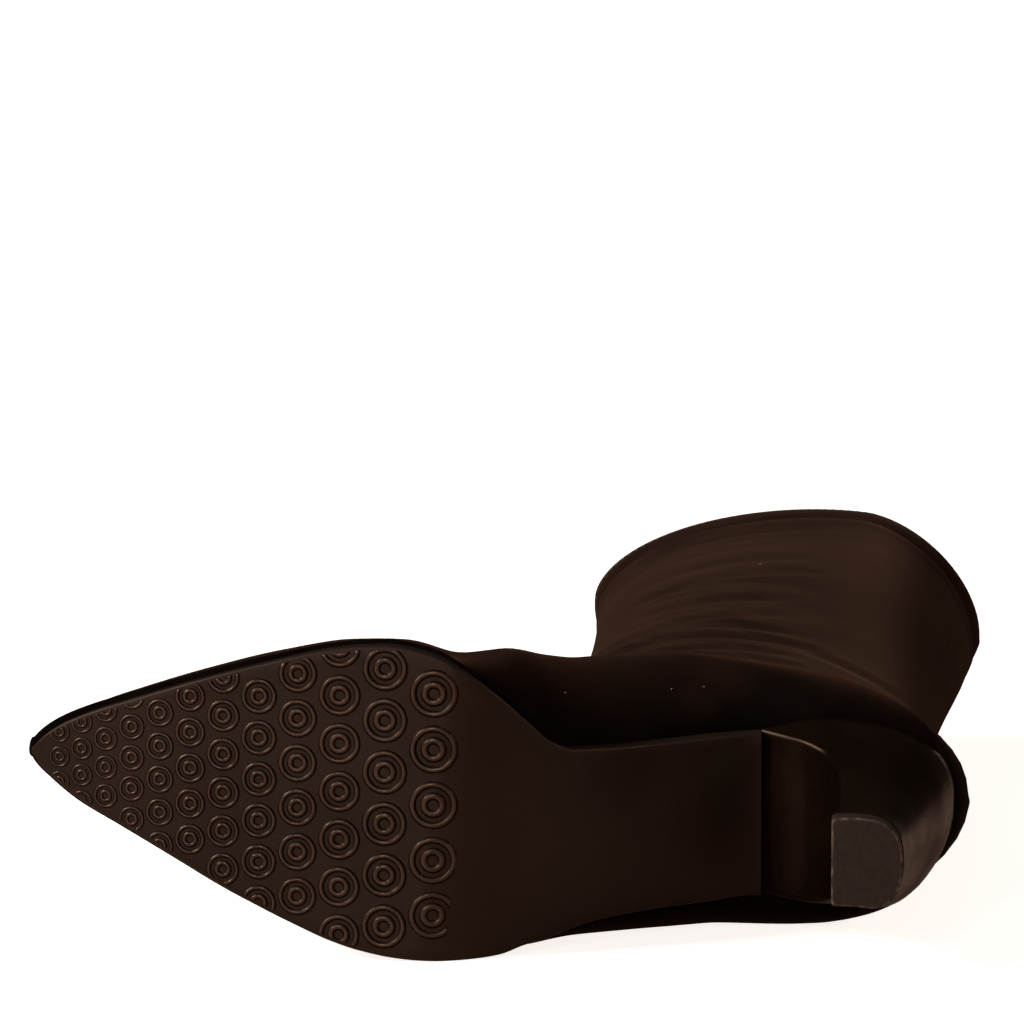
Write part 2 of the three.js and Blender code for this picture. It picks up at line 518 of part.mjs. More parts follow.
function outsole() {
  const tip = along(OUTLINE[OUTLINE.length - 1].at);
  const places = [tip, ...stations.filter((x) => x < tip && x >= SEAT_LENGTH)];
  return layer(places, 0, OUTSOLE_THICKNESS, (x) => {
    const [inner, outer] = [edge.inner(x), edge.outer(x)];
    return { inner, outer, bevel: Math.min(OUTSOLE_BEVEL, (inner - outer) / 4) };
  });
}

function insole() {
  const low = OUTSOLE_THICKNESS + UPPER_WALL + 3 * CLEARANCE;
  const inset = UPPER_WALL + INSOLE_PLAY;
  const places = stations.filter((x) => x < along(INSOLE_TO) && x > along(INSOLE_FROM));
  return layer(places, low, low + INSOLE_THICKNESS, (x) => {
    const foot = featherEdge(x);
    return { inner: foot.inner - inset, outer: foot.outer + inset, bevel: 0 };
  });
}

// The foot part is closed at the toe, open at the ankle and open underneath inside its turned-in edge.
const INNER_START = 2; // first section that the inside of the toe reaches
function upper() {
  const outside = footSections.map((section, i) => sectionRing(i, 0));
  const inside = footSections.map((section, i) => sectionRing(i, UPPER_WALL)).slice(INNER_START);
  const shell = loft([...outside, ...inside.reverse()]);
  const below = OUTSOLE_THICKNESS + CLEARANCE;
  const places = stations.filter((x) => x < along(OPENING_TO) && x > along(OPENING_FROM));
  const opening = layer(places, below - UPPER_WALL, below + 2 * UPPER_WALL, (x) => {
    const foot = featherEdge(x);
    return { inner: foot.inner - LASTING_MARGIN, outer: foot.outer + LASTING_MARGIN, bevel: 0 };
  });
  return toGeometry(toSolid(shell).subtract(toSolid(opening)));
}

// The leg's lower edge is tucked inside the top edge of the foot part.
const LAP_SECTIONS = 1;
const BLEND_SECTIONS = 3; // sections over which the leg comes out to its own surface
function leg() {
  const first = footSections.length - 1 - LAP_SECTIONS;
  const tucked = UPPER_WALL + CLEARANCE;
  const outside = [];
  const inside = [];
  for (let i = first; i < sections.length; i += 1) {
    const depth = tucked * (1 - smooth(i, first + LAP_SECTIONS, first + LAP_SECTIONS + BLEND_SECTIONS));
    const inHem = footTop - sections[i].under.z < HEM_HEIGHT + 1;
    outside.push(sectionRing(i, depth));
    inside.push(sectionRing(i, depth + (inHem ? HEM_WALL : LEG_WALL)));
  }
  return loft([...outside, ...inside.reverse()], true);
}

// A section of the heel: straight across the breast, round behind.
function heelRing(shape) {
  const { front, back, row, width, inset, hollow } = shape;
  const [inner, innerWide] = [row.inner * width - inset, row.innerWide * width - inset];
  const [outer, outerWide] = [row.outer * width + inset, row.outerWide * width + inset];
  const rear = row.rear * width;
  const at = (y, t) => place(mix(front.x, back.x, t), y, mix(front.z, back.z, t));
  const side = (corner, wide, roundness) => {
    const points = [];
    for (let i = 0; i <= HEEL_FRONT_STEPS; i += 1) {
      const t = i / HEEL_FRONT_STEPS;
      points.push(at(mix(corner, wide, Math.sin((Math.PI / 2) * t)), HEEL_WIDEST * t));
    }
    for (let i = 1; i < HEEL_BACK_STEPS; i += 1) {
      const angle = (Math.PI / 2) * (i / HEEL_BACK_STEPS);
      const t = mix(HEEL_WIDEST, 1, Math.sin(angle) ** (2 / roundness));
      points.push(at(mix(rear, wide, Math.cos(angle) ** (2 / roundness)), t));
    }
    return points;
  };
  const length = front.x - back.x;
  const breast = BREAST_POINTS.map((share) =>
    at(mix(outer, inner, share), (hollow * 4 * share * (1 - share)) / length),
  );
  const innerSide = side(inner, innerWide, row.innerRound);
  const outerSide = side(outer, outerWide, row.outerRound);
  return [...innerSide, at(rear, 1), ...outerSide.reverse(), ...breast];
}

function heel() {
  const seatFront = aboveSole(SEAT_LENGTH, OUTSOLE_THICKNESS);
  const seatBack = aboveSole(TOP_PIECE_SETBACK * HEEL[0].back, OUTSOLE_THICKNESS);
  const tipFront = TOP_PIECE_SETBACK + TOP_PIECE_LENGTH;
  const foot = TOP_PIECE_HEIGHT + CLEARANCE;
  return loft(
    HEEL.map((row) => {
      const width = mix(SEAT_WIDTH, TOP_PIECE_WIDTH, row.down);
      const front = row.front * mix(seatFront.x - CLEARANCE, tipFront, row.down);
      return heelRing({
        front: { x: front, z: mix(seatFront.z, foot, row.down) },
        back: { x: row.back * TOP_PIECE_SETBACK, z: mix(seatBack.z, foot, row.down) },
        row,
        width,
        inset: 0,
        hollow: BREAST_HOLLOW * Math.sin(Math.PI * row.down),
      });
    }),
  );
}

function topPiece() {
  const row = HEEL[HEEL.length - 1];
  const levels = [
    { z: 0, bevel: TOP_PIECE_BEVEL },
    { z: TOP_PIECE_BEVEL, bevel: 0 },
    { z: TOP_PIECE_HEIGHT, bevel: 0 },
  ];
  return loft(
    levels.map(({ z, bevel }) =>
      heelRing({
        front: { x: TOP_PIECE_SETBACK + TOP_PIECE_LENGTH - bevel, z },
        back: { x: TOP_PIECE_SETBACK + bevel, z },
        row,
        width: TOP_PIECE_WIDTH,
        inset: bevel,
        hollow: 0,
      }),
    ),
  );
}

function piece(name, geometry, color, roughness, metalness = 0) {
  const mesh = new THREE.Mesh(geometry, new THREE.MeshStandardMaterial({ color, roughness, metalness }));
  mesh.name = name;
  return mesh;
}

const boot = new THREE.Group();
boot.add(
  piece("outsole", outsole(), 0x241c17, 0.6),
  piece("heel", heel(), 0x17100c, 0.2),
  piece("top_piece", topPiece(), 0x2e2622, 0.75),
  piece("insole", insole(), 0x3a3029, 0.85),
  piece("upper", upper(), 0x140c08, 0.95),
  piece("leg", leg(), 0x2d211a, 0.95),
);

// The boot lies on its outer side: toe to -X, collar to +Y, inner side up.
const laidDown = new THREE.Matrix4().makeBasis(
  new THREE.Vector3(-1, 0, 0),
  new THREE.Vector3(0, 0, 1),
  new THREE.Vector3(0, 1, 0),
);
const points = [];
const balance = new THREE.Vector3();
let weight = 0;
for (const mesh of boot.children) {
  const { volume, middle } = massOf(mesh.geometry);
  balance.addScaledVector(middle.applyMatrix4(laidDown), volume * DENSITY[mesh.name]);
  weight += volume * DENSITY[mesh.name];
  const p = mesh.geometry.getAttribute("position");
  for (let i = 0; i < p.count; i += 1) {
    points.push(new THREE.Vector3().fromBufferAttribute(p, i).applyMatrix4(laidDown));
  }
}
balance.divideScalar(weight);

// It rests on the face of its hull that its balance point is over. Of the faces where that holds, the one
// that looks most nearly down is the outer side.
function restingNormal() {
  let down = new THREE.Vector3(0, 0, 1);
  for (const face of new ConvexHull().setFromPoints(points).faces) {
    const foot = balance.clone().addScaledVector(face.normal, -face.distanceToPoint(balance));
    let inside = true;
    let side = face.edge;
    do {
      const start = side.tail().point;
      const turn = side.head().point.clone().sub(start).cross(foot.clone().sub(start));
      inside = inside && turn.dot(face.normal) >= 0;
      side = side.next;
    } while (side !== face.edge);
    if (inside && face.normal.z < down.z) down = face.normal.clone();
  }
  return down;
}

const settle = new THREE.Quaternion().setFromUnitVectors(restingNormal(), new THREE.Vector3(0, 0, -1));
const turned = new THREE.Matrix4().makeRotationFromQuaternion(settle);
const box = new THREE.Box3().setFromPoints(points.map((point) => point.applyMatrix4(turned)));
const centre = box.getCenter(new THREE.Vector3());
boot.applyMatrix4(turned.multiply(laidDown));
boot.position.set(-centre.x, -centre.y, -box.min.z);

const part = new THREE.Group();
part.add(boot);
export default part;
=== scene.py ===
# %% [markdown]
# # A stretch boot, lying on its side
# The boot is a knee-high pull-on for the right foot: a suede foot part with a pointed toe, a soft stretch
# leg, a thin rubber sole and a glossy curved heel. Its solids come from a CAD model, which settles every
# size and place. This lesson gives each of them the fine surface and the finish of the real thing.
# The solids are loaded first and stay where they are: each new piece is built into the same space and
# then stands for the solid.

import json

import bmesh
import bpy
import numpy as np
from mathutils import Matrix, Vector


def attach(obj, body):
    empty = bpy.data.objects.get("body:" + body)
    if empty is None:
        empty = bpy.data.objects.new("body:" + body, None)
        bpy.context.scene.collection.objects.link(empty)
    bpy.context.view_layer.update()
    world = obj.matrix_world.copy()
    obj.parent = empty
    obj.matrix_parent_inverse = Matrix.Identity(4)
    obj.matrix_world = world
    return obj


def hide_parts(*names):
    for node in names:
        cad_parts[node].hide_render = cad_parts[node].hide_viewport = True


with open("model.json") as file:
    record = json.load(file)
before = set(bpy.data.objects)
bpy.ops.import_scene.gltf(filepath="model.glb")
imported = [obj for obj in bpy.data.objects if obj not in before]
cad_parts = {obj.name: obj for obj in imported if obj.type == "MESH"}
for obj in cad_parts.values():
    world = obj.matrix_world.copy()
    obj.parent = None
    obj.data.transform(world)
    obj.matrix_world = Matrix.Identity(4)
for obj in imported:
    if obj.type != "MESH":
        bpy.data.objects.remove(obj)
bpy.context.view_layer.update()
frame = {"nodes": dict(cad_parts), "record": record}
print("solids:", sorted(frame["nodes"]))

# %% [markdown]
# ## The boot's own axes
# A shoemaker measures a boot standing: x forward from the back of the heel, y to the inner side, z up
# from the ground. Here it lies on its outer side, so its own axes are worked out from two spots whose
# place is known both on the standing boot and in the frame: the middle of the heel's tip and a spot on
# the tread. Everything below is drawn in millimetres on those axes and turned into the frame at the end.

# %% From the standing boot to the frame
MM = 0.001
HEEL_TIP_AT = np.array([27.6, 1.0])  # x and y of the middle of the heel's ground face
TREAD_AT = np.array([160.0, 0.0])  # the same of the spot on the tread

mounts = {mount["name"]: mount for mount in frame["record"]["mounts"]}
tip_spot = np.array(mounts["heel_tip_face"]["pos_m"])
tread_spot = np.array(mounts["sole_tread"]["pos_m"])
z_axis = -np.array(mounts["sole_tread"]["axis"])
z_axis /= np.linalg.norm(z_axis)
span = tread_spot - tip_spot
span -= z_axis * span.dot(z_axis)
span /= np.linalg.norm(span)
square = np.cross(z_axis, span)
along_x, along_y = (TREAD_AT - HEEL_TIP_AT) / np.linalg.norm(TREAD_AT - HEEL_TIP_AT)
x_axis = along_x * span - along_y * square
y_axis = along_y * span + along_x * square
AXES = np.array([x_axis, y_axis, z_axis])
ORIGIN = tread_spot - MM * TREAD_AT[0] * x_axis - MM * TREAD_AT[1] * y_axis


def to_frame(points):
    """Points of the standing boot in millimetres, as points of the frame in metres."""
    return MM * np.asarray(points, float) @ AXES + ORIGIN


def direction(vector):
    """A direction on the standing boot, in the frame."""
    return np.asarray(vector, float) @ AXES


print("the boot's upward axis in the frame:", np.round(z_axis, 3))

# %% [markdown]
# ## The camera and the studio
# The photograph looks at the sole from low down, a little from the toe's side, through a long lens. The
# camera is placed on the boot's own axes, so it keeps that angle whatever way the boot lies. The studio
# is a white sweep with one large softbox at the upper left in front, a weak strip light for the tread and
# a weak warm softbox at the right. A sweep that looks white would flood the dark suede with light. So the
# floor and the world tell rays that come straight from the camera from all others: they look white to the
# camera, and give the boot less light and a warmer one.

# %% Camera
CAMERA_AT = (51.3, 235.8, -1073.5)
CAMERA_RIGHT = (-0.98733, 0.12886, 0.09256)
CAMERA_DOWN = (-0.14042, -0.98129, -0.13175)
FOCAL_PIXELS = 4180.0
FRAME_PIXELS = 1024.0
SENSOR = 36.0

scene = bpy.context.scene


def add_object(name, data):
    """A new object in the scene, with a camera, a lamp or a mesh as its data."""
    made = bpy.data.objects.new(name, data)
    scene.collection.objects.link(made)
    return made


camera = add_object("camera", bpy.data.cameras.new("camera"))
right = Vector(direction(CAMERA_RIGHT)).normalized()
back = right.cross(-Vector(direction(CAMERA_DOWN))).normalized()
turn = Matrix((right, back.cross(right), back)).transposed()
camera.matrix_world = Matrix.Translation(to_frame(CAMERA_AT)) @ turn.to_4x4()
camera.data.sensor_width = SENSOR
camera.data.lens = SENSOR * FOCAL_PIXELS / FRAME_PIXELS
camera.data.clip_start = 0.01
camera.data.clip_end = 50.0
scene.camera = camera
scene.view_settings.view_transform = "Standard"
print("lens:", round(camera.data.lens, 1), "mm, camera height:", round(camera.location.z * 1000), "mm")


# %% Nodes of a material
def feed(socket, value):
    """Sets a socket to a number or a colour, or joins another socket to it."""
    if isinstance(value, bpy.types.NodeSocket):
        socket.id_data.links.new(value, socket)
    elif socket.type == "RGBA":
        socket.default_value = (*value, 1.0)
    else:
        socket.default_value = value


def feed_all(made, **values):
    """Feeds the sockets of a node by name, with _ for a space."""
    for name, value in values.items():
        feed(made.inputs[name.replace("_", " ")], value)


def new_material(name, **values):
    """A material with its nodes and its Principled shader, whose sockets are fed by name."""
    material = bpy.data.materials.new(name)
    material.use_nodes = True
    shader = material.node_tree.nodes["Principled BSDF"]
    feed_all(shader, **values)
    return material, material.node_tree, shader


def node(tree, kind, inputs=None, **settings):
    """A node, with its settings by name and what its sockets are fed in `inputs`."""
    made = tree.nodes.new(kind)
    for setting, value in settings.items():
        setattr(made, setting, value)
    for socket, value in (inputs or {}).items():
        feed(made.inputs[socket], value)
    return made


def in_space(tree):
    """The place of a point in the frame, in metres."""
    return node(tree, "ShaderNodeTexCoord").outputs["Object"]


def on_surface(tree):
    """The place of a point on the unrolled surface, in metres."""
    return node(tree, "ShaderNodeUVMap", uv_map="surface").outputs["UV"]


def painted(tree, name):
    """A value that the mesh carries at each point."""
    return node(tree, "ShaderNodeAttribute", attribute_name=name).outputs["Fac"]


def noise(tree, vector, scale, detail=2.0, roughness=0.5, stretch=None):
    """Soft noise over `vector`, with `scale` spots a metre, squeezed by `stretch` along each axis."""
    if stretch is not None:
        vector = node(tree, "ShaderNodeMapping", {"Vector": vector, "Scale": stretch}).outputs["Vector"]
    settings = {"Vector": vector, "Scale": scale, "Detail": detail, "Roughness": roughness}
    return node(tree, "ShaderNodeTexNoise", settings).outputs["Fac"]


def spread(tree, value, low, high, to_low=0.0, to_high=1.0):
    """The stretch of `value` from low to high, spread over to_low to to_high."""
    ends = {"Value": value, "From Min": low, "From Max": high, "To Min": to_low, "To Max": to_high}
    return node(tree, "ShaderNodeMapRange", ends, interpolation_type="SMOOTHSTEP").outputs["Result"]


def blend(tree, amount, dark, light):
    """A colour between two colours or sockets."""
    made = node(tree, "ShaderNodeMix", {"Factor": amount}, data_type="RGBA")
    for socket, colour in (("A", dark), ("B", light)):
        feed([item for item in made.inputs if item.name == socket and item.type == "RGBA"][0], colour)
    return [item for item in made.outputs if item.type == "RGBA"][0]


def sum_or_product(tree, operation, a, b):
    """Two numbers or sockets added or multiplied."""
    return node(tree, "ShaderNodeMath", {0: a, 1: b}, operation=operation).outputs[0]


def bump(tree, height, strength, distance, before=None):
    """A bump of `height` over the bump `before` it."""
    made = node(tree, "ShaderNodeBump", {"Strength": strength, "Distance": distance, "Height": height})
    if before is not None:
        feed(made.inputs["Normal"], before)
    return made.outputs["Normal"]


# %% Floor and world
FLOOR_HALF = 40.0
FLOOR_COLOUR = (0.85, 0.84, 0.83)
FLOOR_GLOW = 0.9  # how bright the lit paper looks by itself, round the boot
FAR_GLOW = 1.05  # and far behind it, where the lamps don't reach
GLOW_RISES = (0.35, 1.1)  # metres from the boot
FLOOR_GIVES = 0.22  # what its glow gives to the boot
GLOW_TINT = (1.0, 0.955, 0.925)
BOUNCE_COLOUR = (0.48, 0.31, 0.23)  # the warm light that comes back from it onto the boot
CORNERS = ((-1, -1), (1, -1), (1, 1), (-1, 1))
floor_mesh = bpy.data.meshes.new("floor")
floor_mesh.from_pydata([(x * FLOOR_HALF, y * FLOOR_HALF, 0) for x, y in CORNERS], [], [(0, 1, 2, 3)])
floor = add_object("floor", floor_mesh)
floor_material, tree, shader = new_material("white sweep", Roughness=0.5)
distance = node(tree, "ShaderNodeVectorMath", {0: in_space(tree)}, operation="LENGTH").outputs["Value"]
seen = node(tree, "ShaderNodeLightPath").outputs["Is Camera Ray"]
seen_glow = spread(tree, distance, *GLOW_RISES, FLOOR_GLOW, FAR_GLOW)
glow = node(tree, "ShaderNodeMix", {"Factor": seen, "A": FLOOR_GIVES, "B": seen_glow}, data_type="FLOAT")
feed_all(shader, Emission_Strength=glow.outputs["Result"],
         Base_Color=blend(tree, seen, BOUNCE_COLOUR, FLOOR_COLOUR),
         Emission_Color=blend(tree, seen, BOUNCE_COLOUR, GLOW_TINT))
floor_mesh.materials.append(floor_material)

WORLD_BEHIND = 1.3  # how bright the sweep straight behind the boot looks
WORLD_GIVES = 0.75  # what it gives to the boot
WORLD_AROUND = 0.04  # brightness everywhere else
BEHIND = (0.93, 0.985)  # how far a ray points away to the back where the sweep begins and is full
WHITE_SEEN = (1.0, 0.96, 0.92)
WARM_GIVEN = (1.0, 0.72, 0.52)
world = bpy.data.worlds.new("studio")
scene.world = world
world.use_nodes = True
sky = world.node_tree
ray = node(sky, "ShaderNodeTexCoord").outputs["Generated"]
away = node(sky, "ShaderNodeSeparateXYZ", {"Vector": ray}).outputs["Y"]
seen = node(sky, "ShaderNodeLightPath").outputs["Is Camera Ray"]
brightness = node(sky, "ShaderNodeMix", {
    "Factor": seen,
    "A": spread(sky, away, *BEHIND, WORLD_AROUND, WORLD_GIVES),
    "B": spread(sky, away, *BEHIND, WORLD_AROUND, WORLD_BEHIND),
}, data_type="FLOAT")
feed_all(sky.nodes["Background"], Color=blend(sky, seen, WARM_GIVEN, WHITE_SEEN),
         Strength=brightness.outputs["Result"])


# %% Lamps
def softbox(name, place_at, aim_at, width, height, watts, colour=(1.0, 0.95, 0.9)):
    """A soft lamp with a rectangular front."""
    light = bpy.data.lights.new(name, "AREA")
    light.shape = "RECTANGLE"
    light.size = width
    light.size_y = height
    light.energy = watts
    light.color = colour
    lamp = add_object(name, light)
    lamp.location = place_at
    lamp.rotation_euler = (Vector(aim_at) - Vector(place_at)).to_track_quat("-Z", "Y").to_euler()


softbox("key softbox", (-1.65, -1.0, 1.25), (0.0, -0.15, 0.03), 0.8, 0.8, 60.0)
softbox("strip light", (-0.18, -1.3, 0.36), (-0.02, -0.2, 0.04), 0.12, 0.6, 3.2)
softbox("right softbox", (1.2, -0.25, 0.55), (0.1, 0.05, 0.05), 0.3, 0.5, 3.5, (1.0, 0.84, 0.7))

# %% [markdown]
# ## Sizes and sections
# A last, the form that a shoe is built over, has no plain geometry: shoemakers keep it as a row of
# sections. The tables below are such rows, as shares of a few sizes, and they are the ones that the
# solids were made from. A smooth curve through each column gives a section at any place, so the same
# tables give a surface as fine as is wanted. A subdivided copy of the solid was the other way, but its
# sharp edges, the feather line and the top line, would have had to be picked out by hand.

# %% Driving sizes, in millimetres
FOOT_LENGTH = 253.0
SEAT_LENGTH = 57.0
BALL_WIDTH = 83.0
SEAT_WIDTH = 52.0
HEEL_HEIGHT = 60.0
TOE_SPRING = 9.0
FRONT_RISE = 146.0
BACK_RISE = 44.0
HEEL_SWING = 0.135
LEG_HEIGHT = 395.0
ANKLE_DEPTH = 112.0
ANKLE_WIDTH = 65.0
COLLAR_DEPTH = 143.0
COLLAR_WIDTH = 94.5
HEM_HEIGHT = 22.0
OUTSOLE_THICKNESS = 3.5
OUTSOLE_BEVEL = 0.8
TOP_PIECE_HEIGHT = 5.6
TOP_PIECE_LENGTH = 18.8
TOP_PIECE_WIDTH = 25.6
TOP_PIECE_SETBACK = 17.9
BREAST_HOLLOW = 1.4
UPPER_WALL = 1.8
LEG_WALL = 1.3
HEM_WALL = 2.2
CLEARANCE = 0.3
LASTING_MARGIN = 13.0
UPPER_OVERHANG_INNER = 1.1
UPPER_OVERHANG = 0.9
BALL_SETBACK = 0.4
TOE_OVERHANG = 1.8
BALL_AT = 1.474
PAST_BALL = 1.75
SWING_END = 1.27
SWING_TOP = 1.5


# %% Tables of sections
def table(names, *rows):
    """Named columns of a table."""
    return dict(zip(names.split(), np.array(rows, float).T))


SOLE_LINE = table(
    "at heel spring",
    (-0.105, 1.07, 0), (0, 1.056, 0), (0.439, 1.0, 0), (0.877, 0.944, 0), (1.0, 0.925, 0),
    (1.092, 0.758, 0), (1.194, 0.517, 0), (1.27, 0.295, 0), (1.321, 0.158, 0), (1.372, 0.055, 0),
    (1.408, 0.015, 0), (1.439, 0, 0), (1.602, 0, 0), (1.73, 0, 0.13), (1.857, 0, 0.44), (2.0, 0, 1))
OUTLINE = table(
    "at inner outer",
    (0.06, 0.15, 0.15), (0.077, 0.275, 0.035), (0.123, 0.385, -0.09), (0.21, 0.473, -0.23),
    (0.351, 0.527, -0.36), (0.526, 0.537, -0.437), (0.702, 0.508, -0.463), (0.86, 0.458, -0.469),
    (1.0, 0.413, -0.462), (1.071, 0.366, -0.487), (1.148, 0.302, -0.488), (1.214, 0.257, -0.49),
    (1.26, 0.238, -0.511), (1.291, 0.259, -0.515), (1.321, 0.313, -0.528), (1.367, 0.39, -0.522),
    (1.418, 0.448, -0.517), (1.464, 0.48, -0.514), (1.51, 0.49, -0.506), (1.551, 0.478, -0.488),
    (1.597, 0.451, -0.456), (1.684, 0.375, -0.386), (1.77, 0.29, -0.303), (1.857, 0.193, -0.222),
    (1.918, 0.122, -0.168), (1.959, 0.061, -0.113), (1.982, 0.01, -0.075), (1.993, -0.028, -0.044))
FOOT = table(
    "under over rise inner outer ankle ridge level low high lie_level lie_low lie_high",
    (1.998, 1.996, 0.051, -0.036, -0.056, 0, -0.034, 0.5, 1.6, 2, 0.5, 1.6, 2),
    (1.988, 1.984, 0.07, -0.014, -0.09, 0, -0.03, 0.45, 1.6, 2, 0.45, 1.6, 2),
    (1.964, 1.956, 0.092, 0.05, -0.135, 0, -0.022, 0.42, 1.6, 2, 0.42, 1.6, 2),
    (1.918, 1.903, 0.117, 0.141, -0.192, 0, -0.014, 0.4, 1.6, 2, 0.4, 1.6, 2),
    (1.857, 1.834, 0.142, 0.219, -0.247, 0, -0.005, 0.38, 1.6, 2, 0.38, 1.6, 2),
    (1.77, 1.74, 0.173, 0.316, -0.328, 0, 0.008, 0.35, 1.6, 2, 0.35, 1.6, 2),
    (1.684, 1.643, 0.212, 0.399, -0.414, 0, 0.024, 0.33, 1.6, 2, 0.33, 1.6, 2),
    (1.597, 1.548, 0.267, 0.46, -0.48, 0, 0.036, 0.3, 1.6, 2, 0.3, 1.6, 2),
    (1.526, 1.474, 0.332, 0.476, -0.515, 0, 0.041, 0.3, 1.6, 1.95, 0.3, 1.6, 1.95),
    (1.454, 1.418, 0.403, 0.447, -0.517, 0, 0.039, 0.32, 1.6, 1.9, 0.31, 1.6, 1.9),
    (1.378, 1.372, 0.466, 0.462, -0.516, 0, 0.036, 0.38, 1.65, 1.85, 0.3, 1.65, 1.85),
    (1.306, 1.339, 0.528, 0.486, -0.574, 0.55, 0.036, 0.45, 1.7, 1.85, 0.28, 1.7, 1.85),
    (1.23, 1.316, 0.584, 0.524, -0.62, 1, 0.034, 0.45, 1.7, 1.85, 0.24, 1.7, 1.85),
    (1.148, 1.304, 0.642, 0.528, -0.603, 1, 0.031, 0.42, 1.7, 1.9, 0.22, 1.7, 1.9),
    (1.061, 1.297, 0.699, 0.54, -0.583, 1, 0.028, 0.36, 1.7, 1.85, 0.22, 1.7, 1.85),
    (1.0, 1.295, 0.734, 0.555, -0.57, 1, 0.026, 0.32, 1.7, 1.8, 0.23, 1.7, 1.8),
    (0.754, 1.293, 0.776, 0.557, -0.56, 1, 0.025, 0.28, 1.75, 1.75, 0.25, 1.7, 1.75),
    (0.526, 1.292, 0.808, 0.552, -0.545, 1, 0.024, 0.26, 1.8, 1.7, 0.26, 1.65, 1.8),
    (0.316, 1.291, 0.838, 0.542, -0.525, 1, 0.023, 0.26, 1.9, 1.7, 0.28, 1.6, 1.9),
    (0.149, 1.291, 0.868, 0.533, -0.514, 1, 0.022, 0.28, 2.1, 1.7, 0.3, 1.6, 2.1),
    (0.063, 1.291, 0.893, 0.52, -0.507, 1, 0.021, 0.32, 2.35, 1.75, 0.34, 1.6, 2.3),
    (0.014, 1.292, 0.917, 0.497, -0.505, 1, 0.02, 0.37, 2.35, 1.8, 0.38, 1.65, 2.3),
    (-0.007, 1.294, 0.941, 0.471, -0.504, 1, 0.018, 0.42, 2.35, 1.9, 0.43, 1.7, 2.3),
    (0.004, 1.296, 0.969, 0.444, -0.505, 1, 0.015, 0.46, 2.3, 2, 0.46, 1.8, 2.3),
    (0.039, 1.299, 1.0, 0.42, -0.505, 1, 0.012, 0.49, 2.25, 2.05, 0.49, 1.85, 2.25))
HEEL_BACK = table(
    "back seam", (0.18, 0.1), (0.29, 0.092), (0.48, 0.085), (0.73, 0.077), (1.0, 0.068))
LEG = table(
    "height depth middle inner outer seam ridge level low high lie_level lie_low lie_high",
    (0.04, 0.983, 0.017, 0.4, -0.498, 0.054, 0.01, 0.5, 2.2, 2.1, 0.5, 1.75, 2.1),
    (0.087, 0.955, 0.028, 0.376, -0.489, 0.038, 0.006, 0.5, 2.15, 2.1, 0.5, 1.7, 2.1),
    (0.14, 0.938, 0.033, 0.366, -0.486, 0.023, 0.001, 0.5, 2.1, 2.1, 0.5, 1.65, 2.15),
    (0.205, 0.928, 0.032, 0.366, -0.49, 0.008, -0.006, 0.49, 2.1, 2.1, 0.5, 1.65, 2.25),
    (0.29, 0.922, 0.031, 0.375, -0.522, -0.008, -0.018, 0.47, 2.1, 2.1, 0.5, 1.65, 2.4),
    (0.4, 0.924, 0.0265, 0.388, -0.568, -0.034, -0.04, 0.44, 2.05, 2.05, 0.5, 1.65, 2.4),
    (0.54, 0.934, 0.02, 0.395, -0.62, -0.062, -0.07, 0.4, 2, 1.97, 0.5, 1.65, 2.35),
    (0.685, 0.95, 0.012, 0.386, -0.634, -0.082, -0.096, 0.365, 1.9, 1.87, 0.5, 1.62, 2.3),
    (0.815, 0.96, 0.006, 0.373, -0.642, -0.097, -0.116, 0.345, 1.8, 1.8, 0.5, 1.6, 2.2),
    (0.9, 0.953, 0.004, 0.366, -0.64, -0.104, -0.124, 0.335, 1.74, 1.78, 0.5, 1.58, 2.1),
    (0.937, 0.945, 0.003, 0.363, -0.638, -0.105, -0.126, 0.33, 1.72, 1.77, 0.5, 1.56, 2),
    (0.967, 0.965, 0.004, 0.355, -0.642, -0.103, -0.127, 0.33, 1.72, 1.77, 0.5, 1.55, 1.95),
    (1.0, 0.996, 0.006, 0.346, -0.65, -0.1, -0.128, 0.33, 1.7, 1.77, 0.5, 1.54, 1.9))
HEEL = table(
    "down front back inner outer inner_wide outer_wide rear inner_round outer_round",
    (0, 1.0, 0.2, 0.415, -0.455, 0.532, -0.458, 0.153, 2.45, 1.85),
    (0.07, 0.917, 0.223, 0.429, -0.467, 0.54, -0.46, 0.151, 2.45, 1.8),
    (0.145, 0.813, 0.28, 0.44, -0.474, 0.537, -0.456, 0.145, 2.4, 1.7),
    (0.24, 0.745, 0.363, 0.436, -0.462, 0.523, -0.438, 0.135, 2.35, 1.6),
    (0.39, 0.733, 0.53, 0.43, -0.441, 0.496, -0.413, 0.119, 2.3, 1.55),
    (0.6, 0.777, 0.726, 0.424, -0.413, 0.468, -0.387, 0.105, 2.3, 1.65),
    (0.83, 0.873, 0.894, 0.432, -0.405, 0.472, -0.38, 0.093, 2.4, 2),
    (1.0, 0.99, 0.985, 0.473, -0.437, 0.52, -0.406, 0.094, 2.7, 2.3))
print("sections:", len(FOOT["under"]), "of the foot,", len(LEG["height"]), "of the leg,", len(HEEL["down"]),
      "of the heel")


# %% Curves through the tables
def mix(a, b, share):
    return a + (b - a) * share


def smooth(x, low, high):
    """0 below low, 1 above high, and an even S between."""
    share = np.clip((x - low) / (high - low), 0.0, 1.0)
    return share * share * (3 - 2 * share)


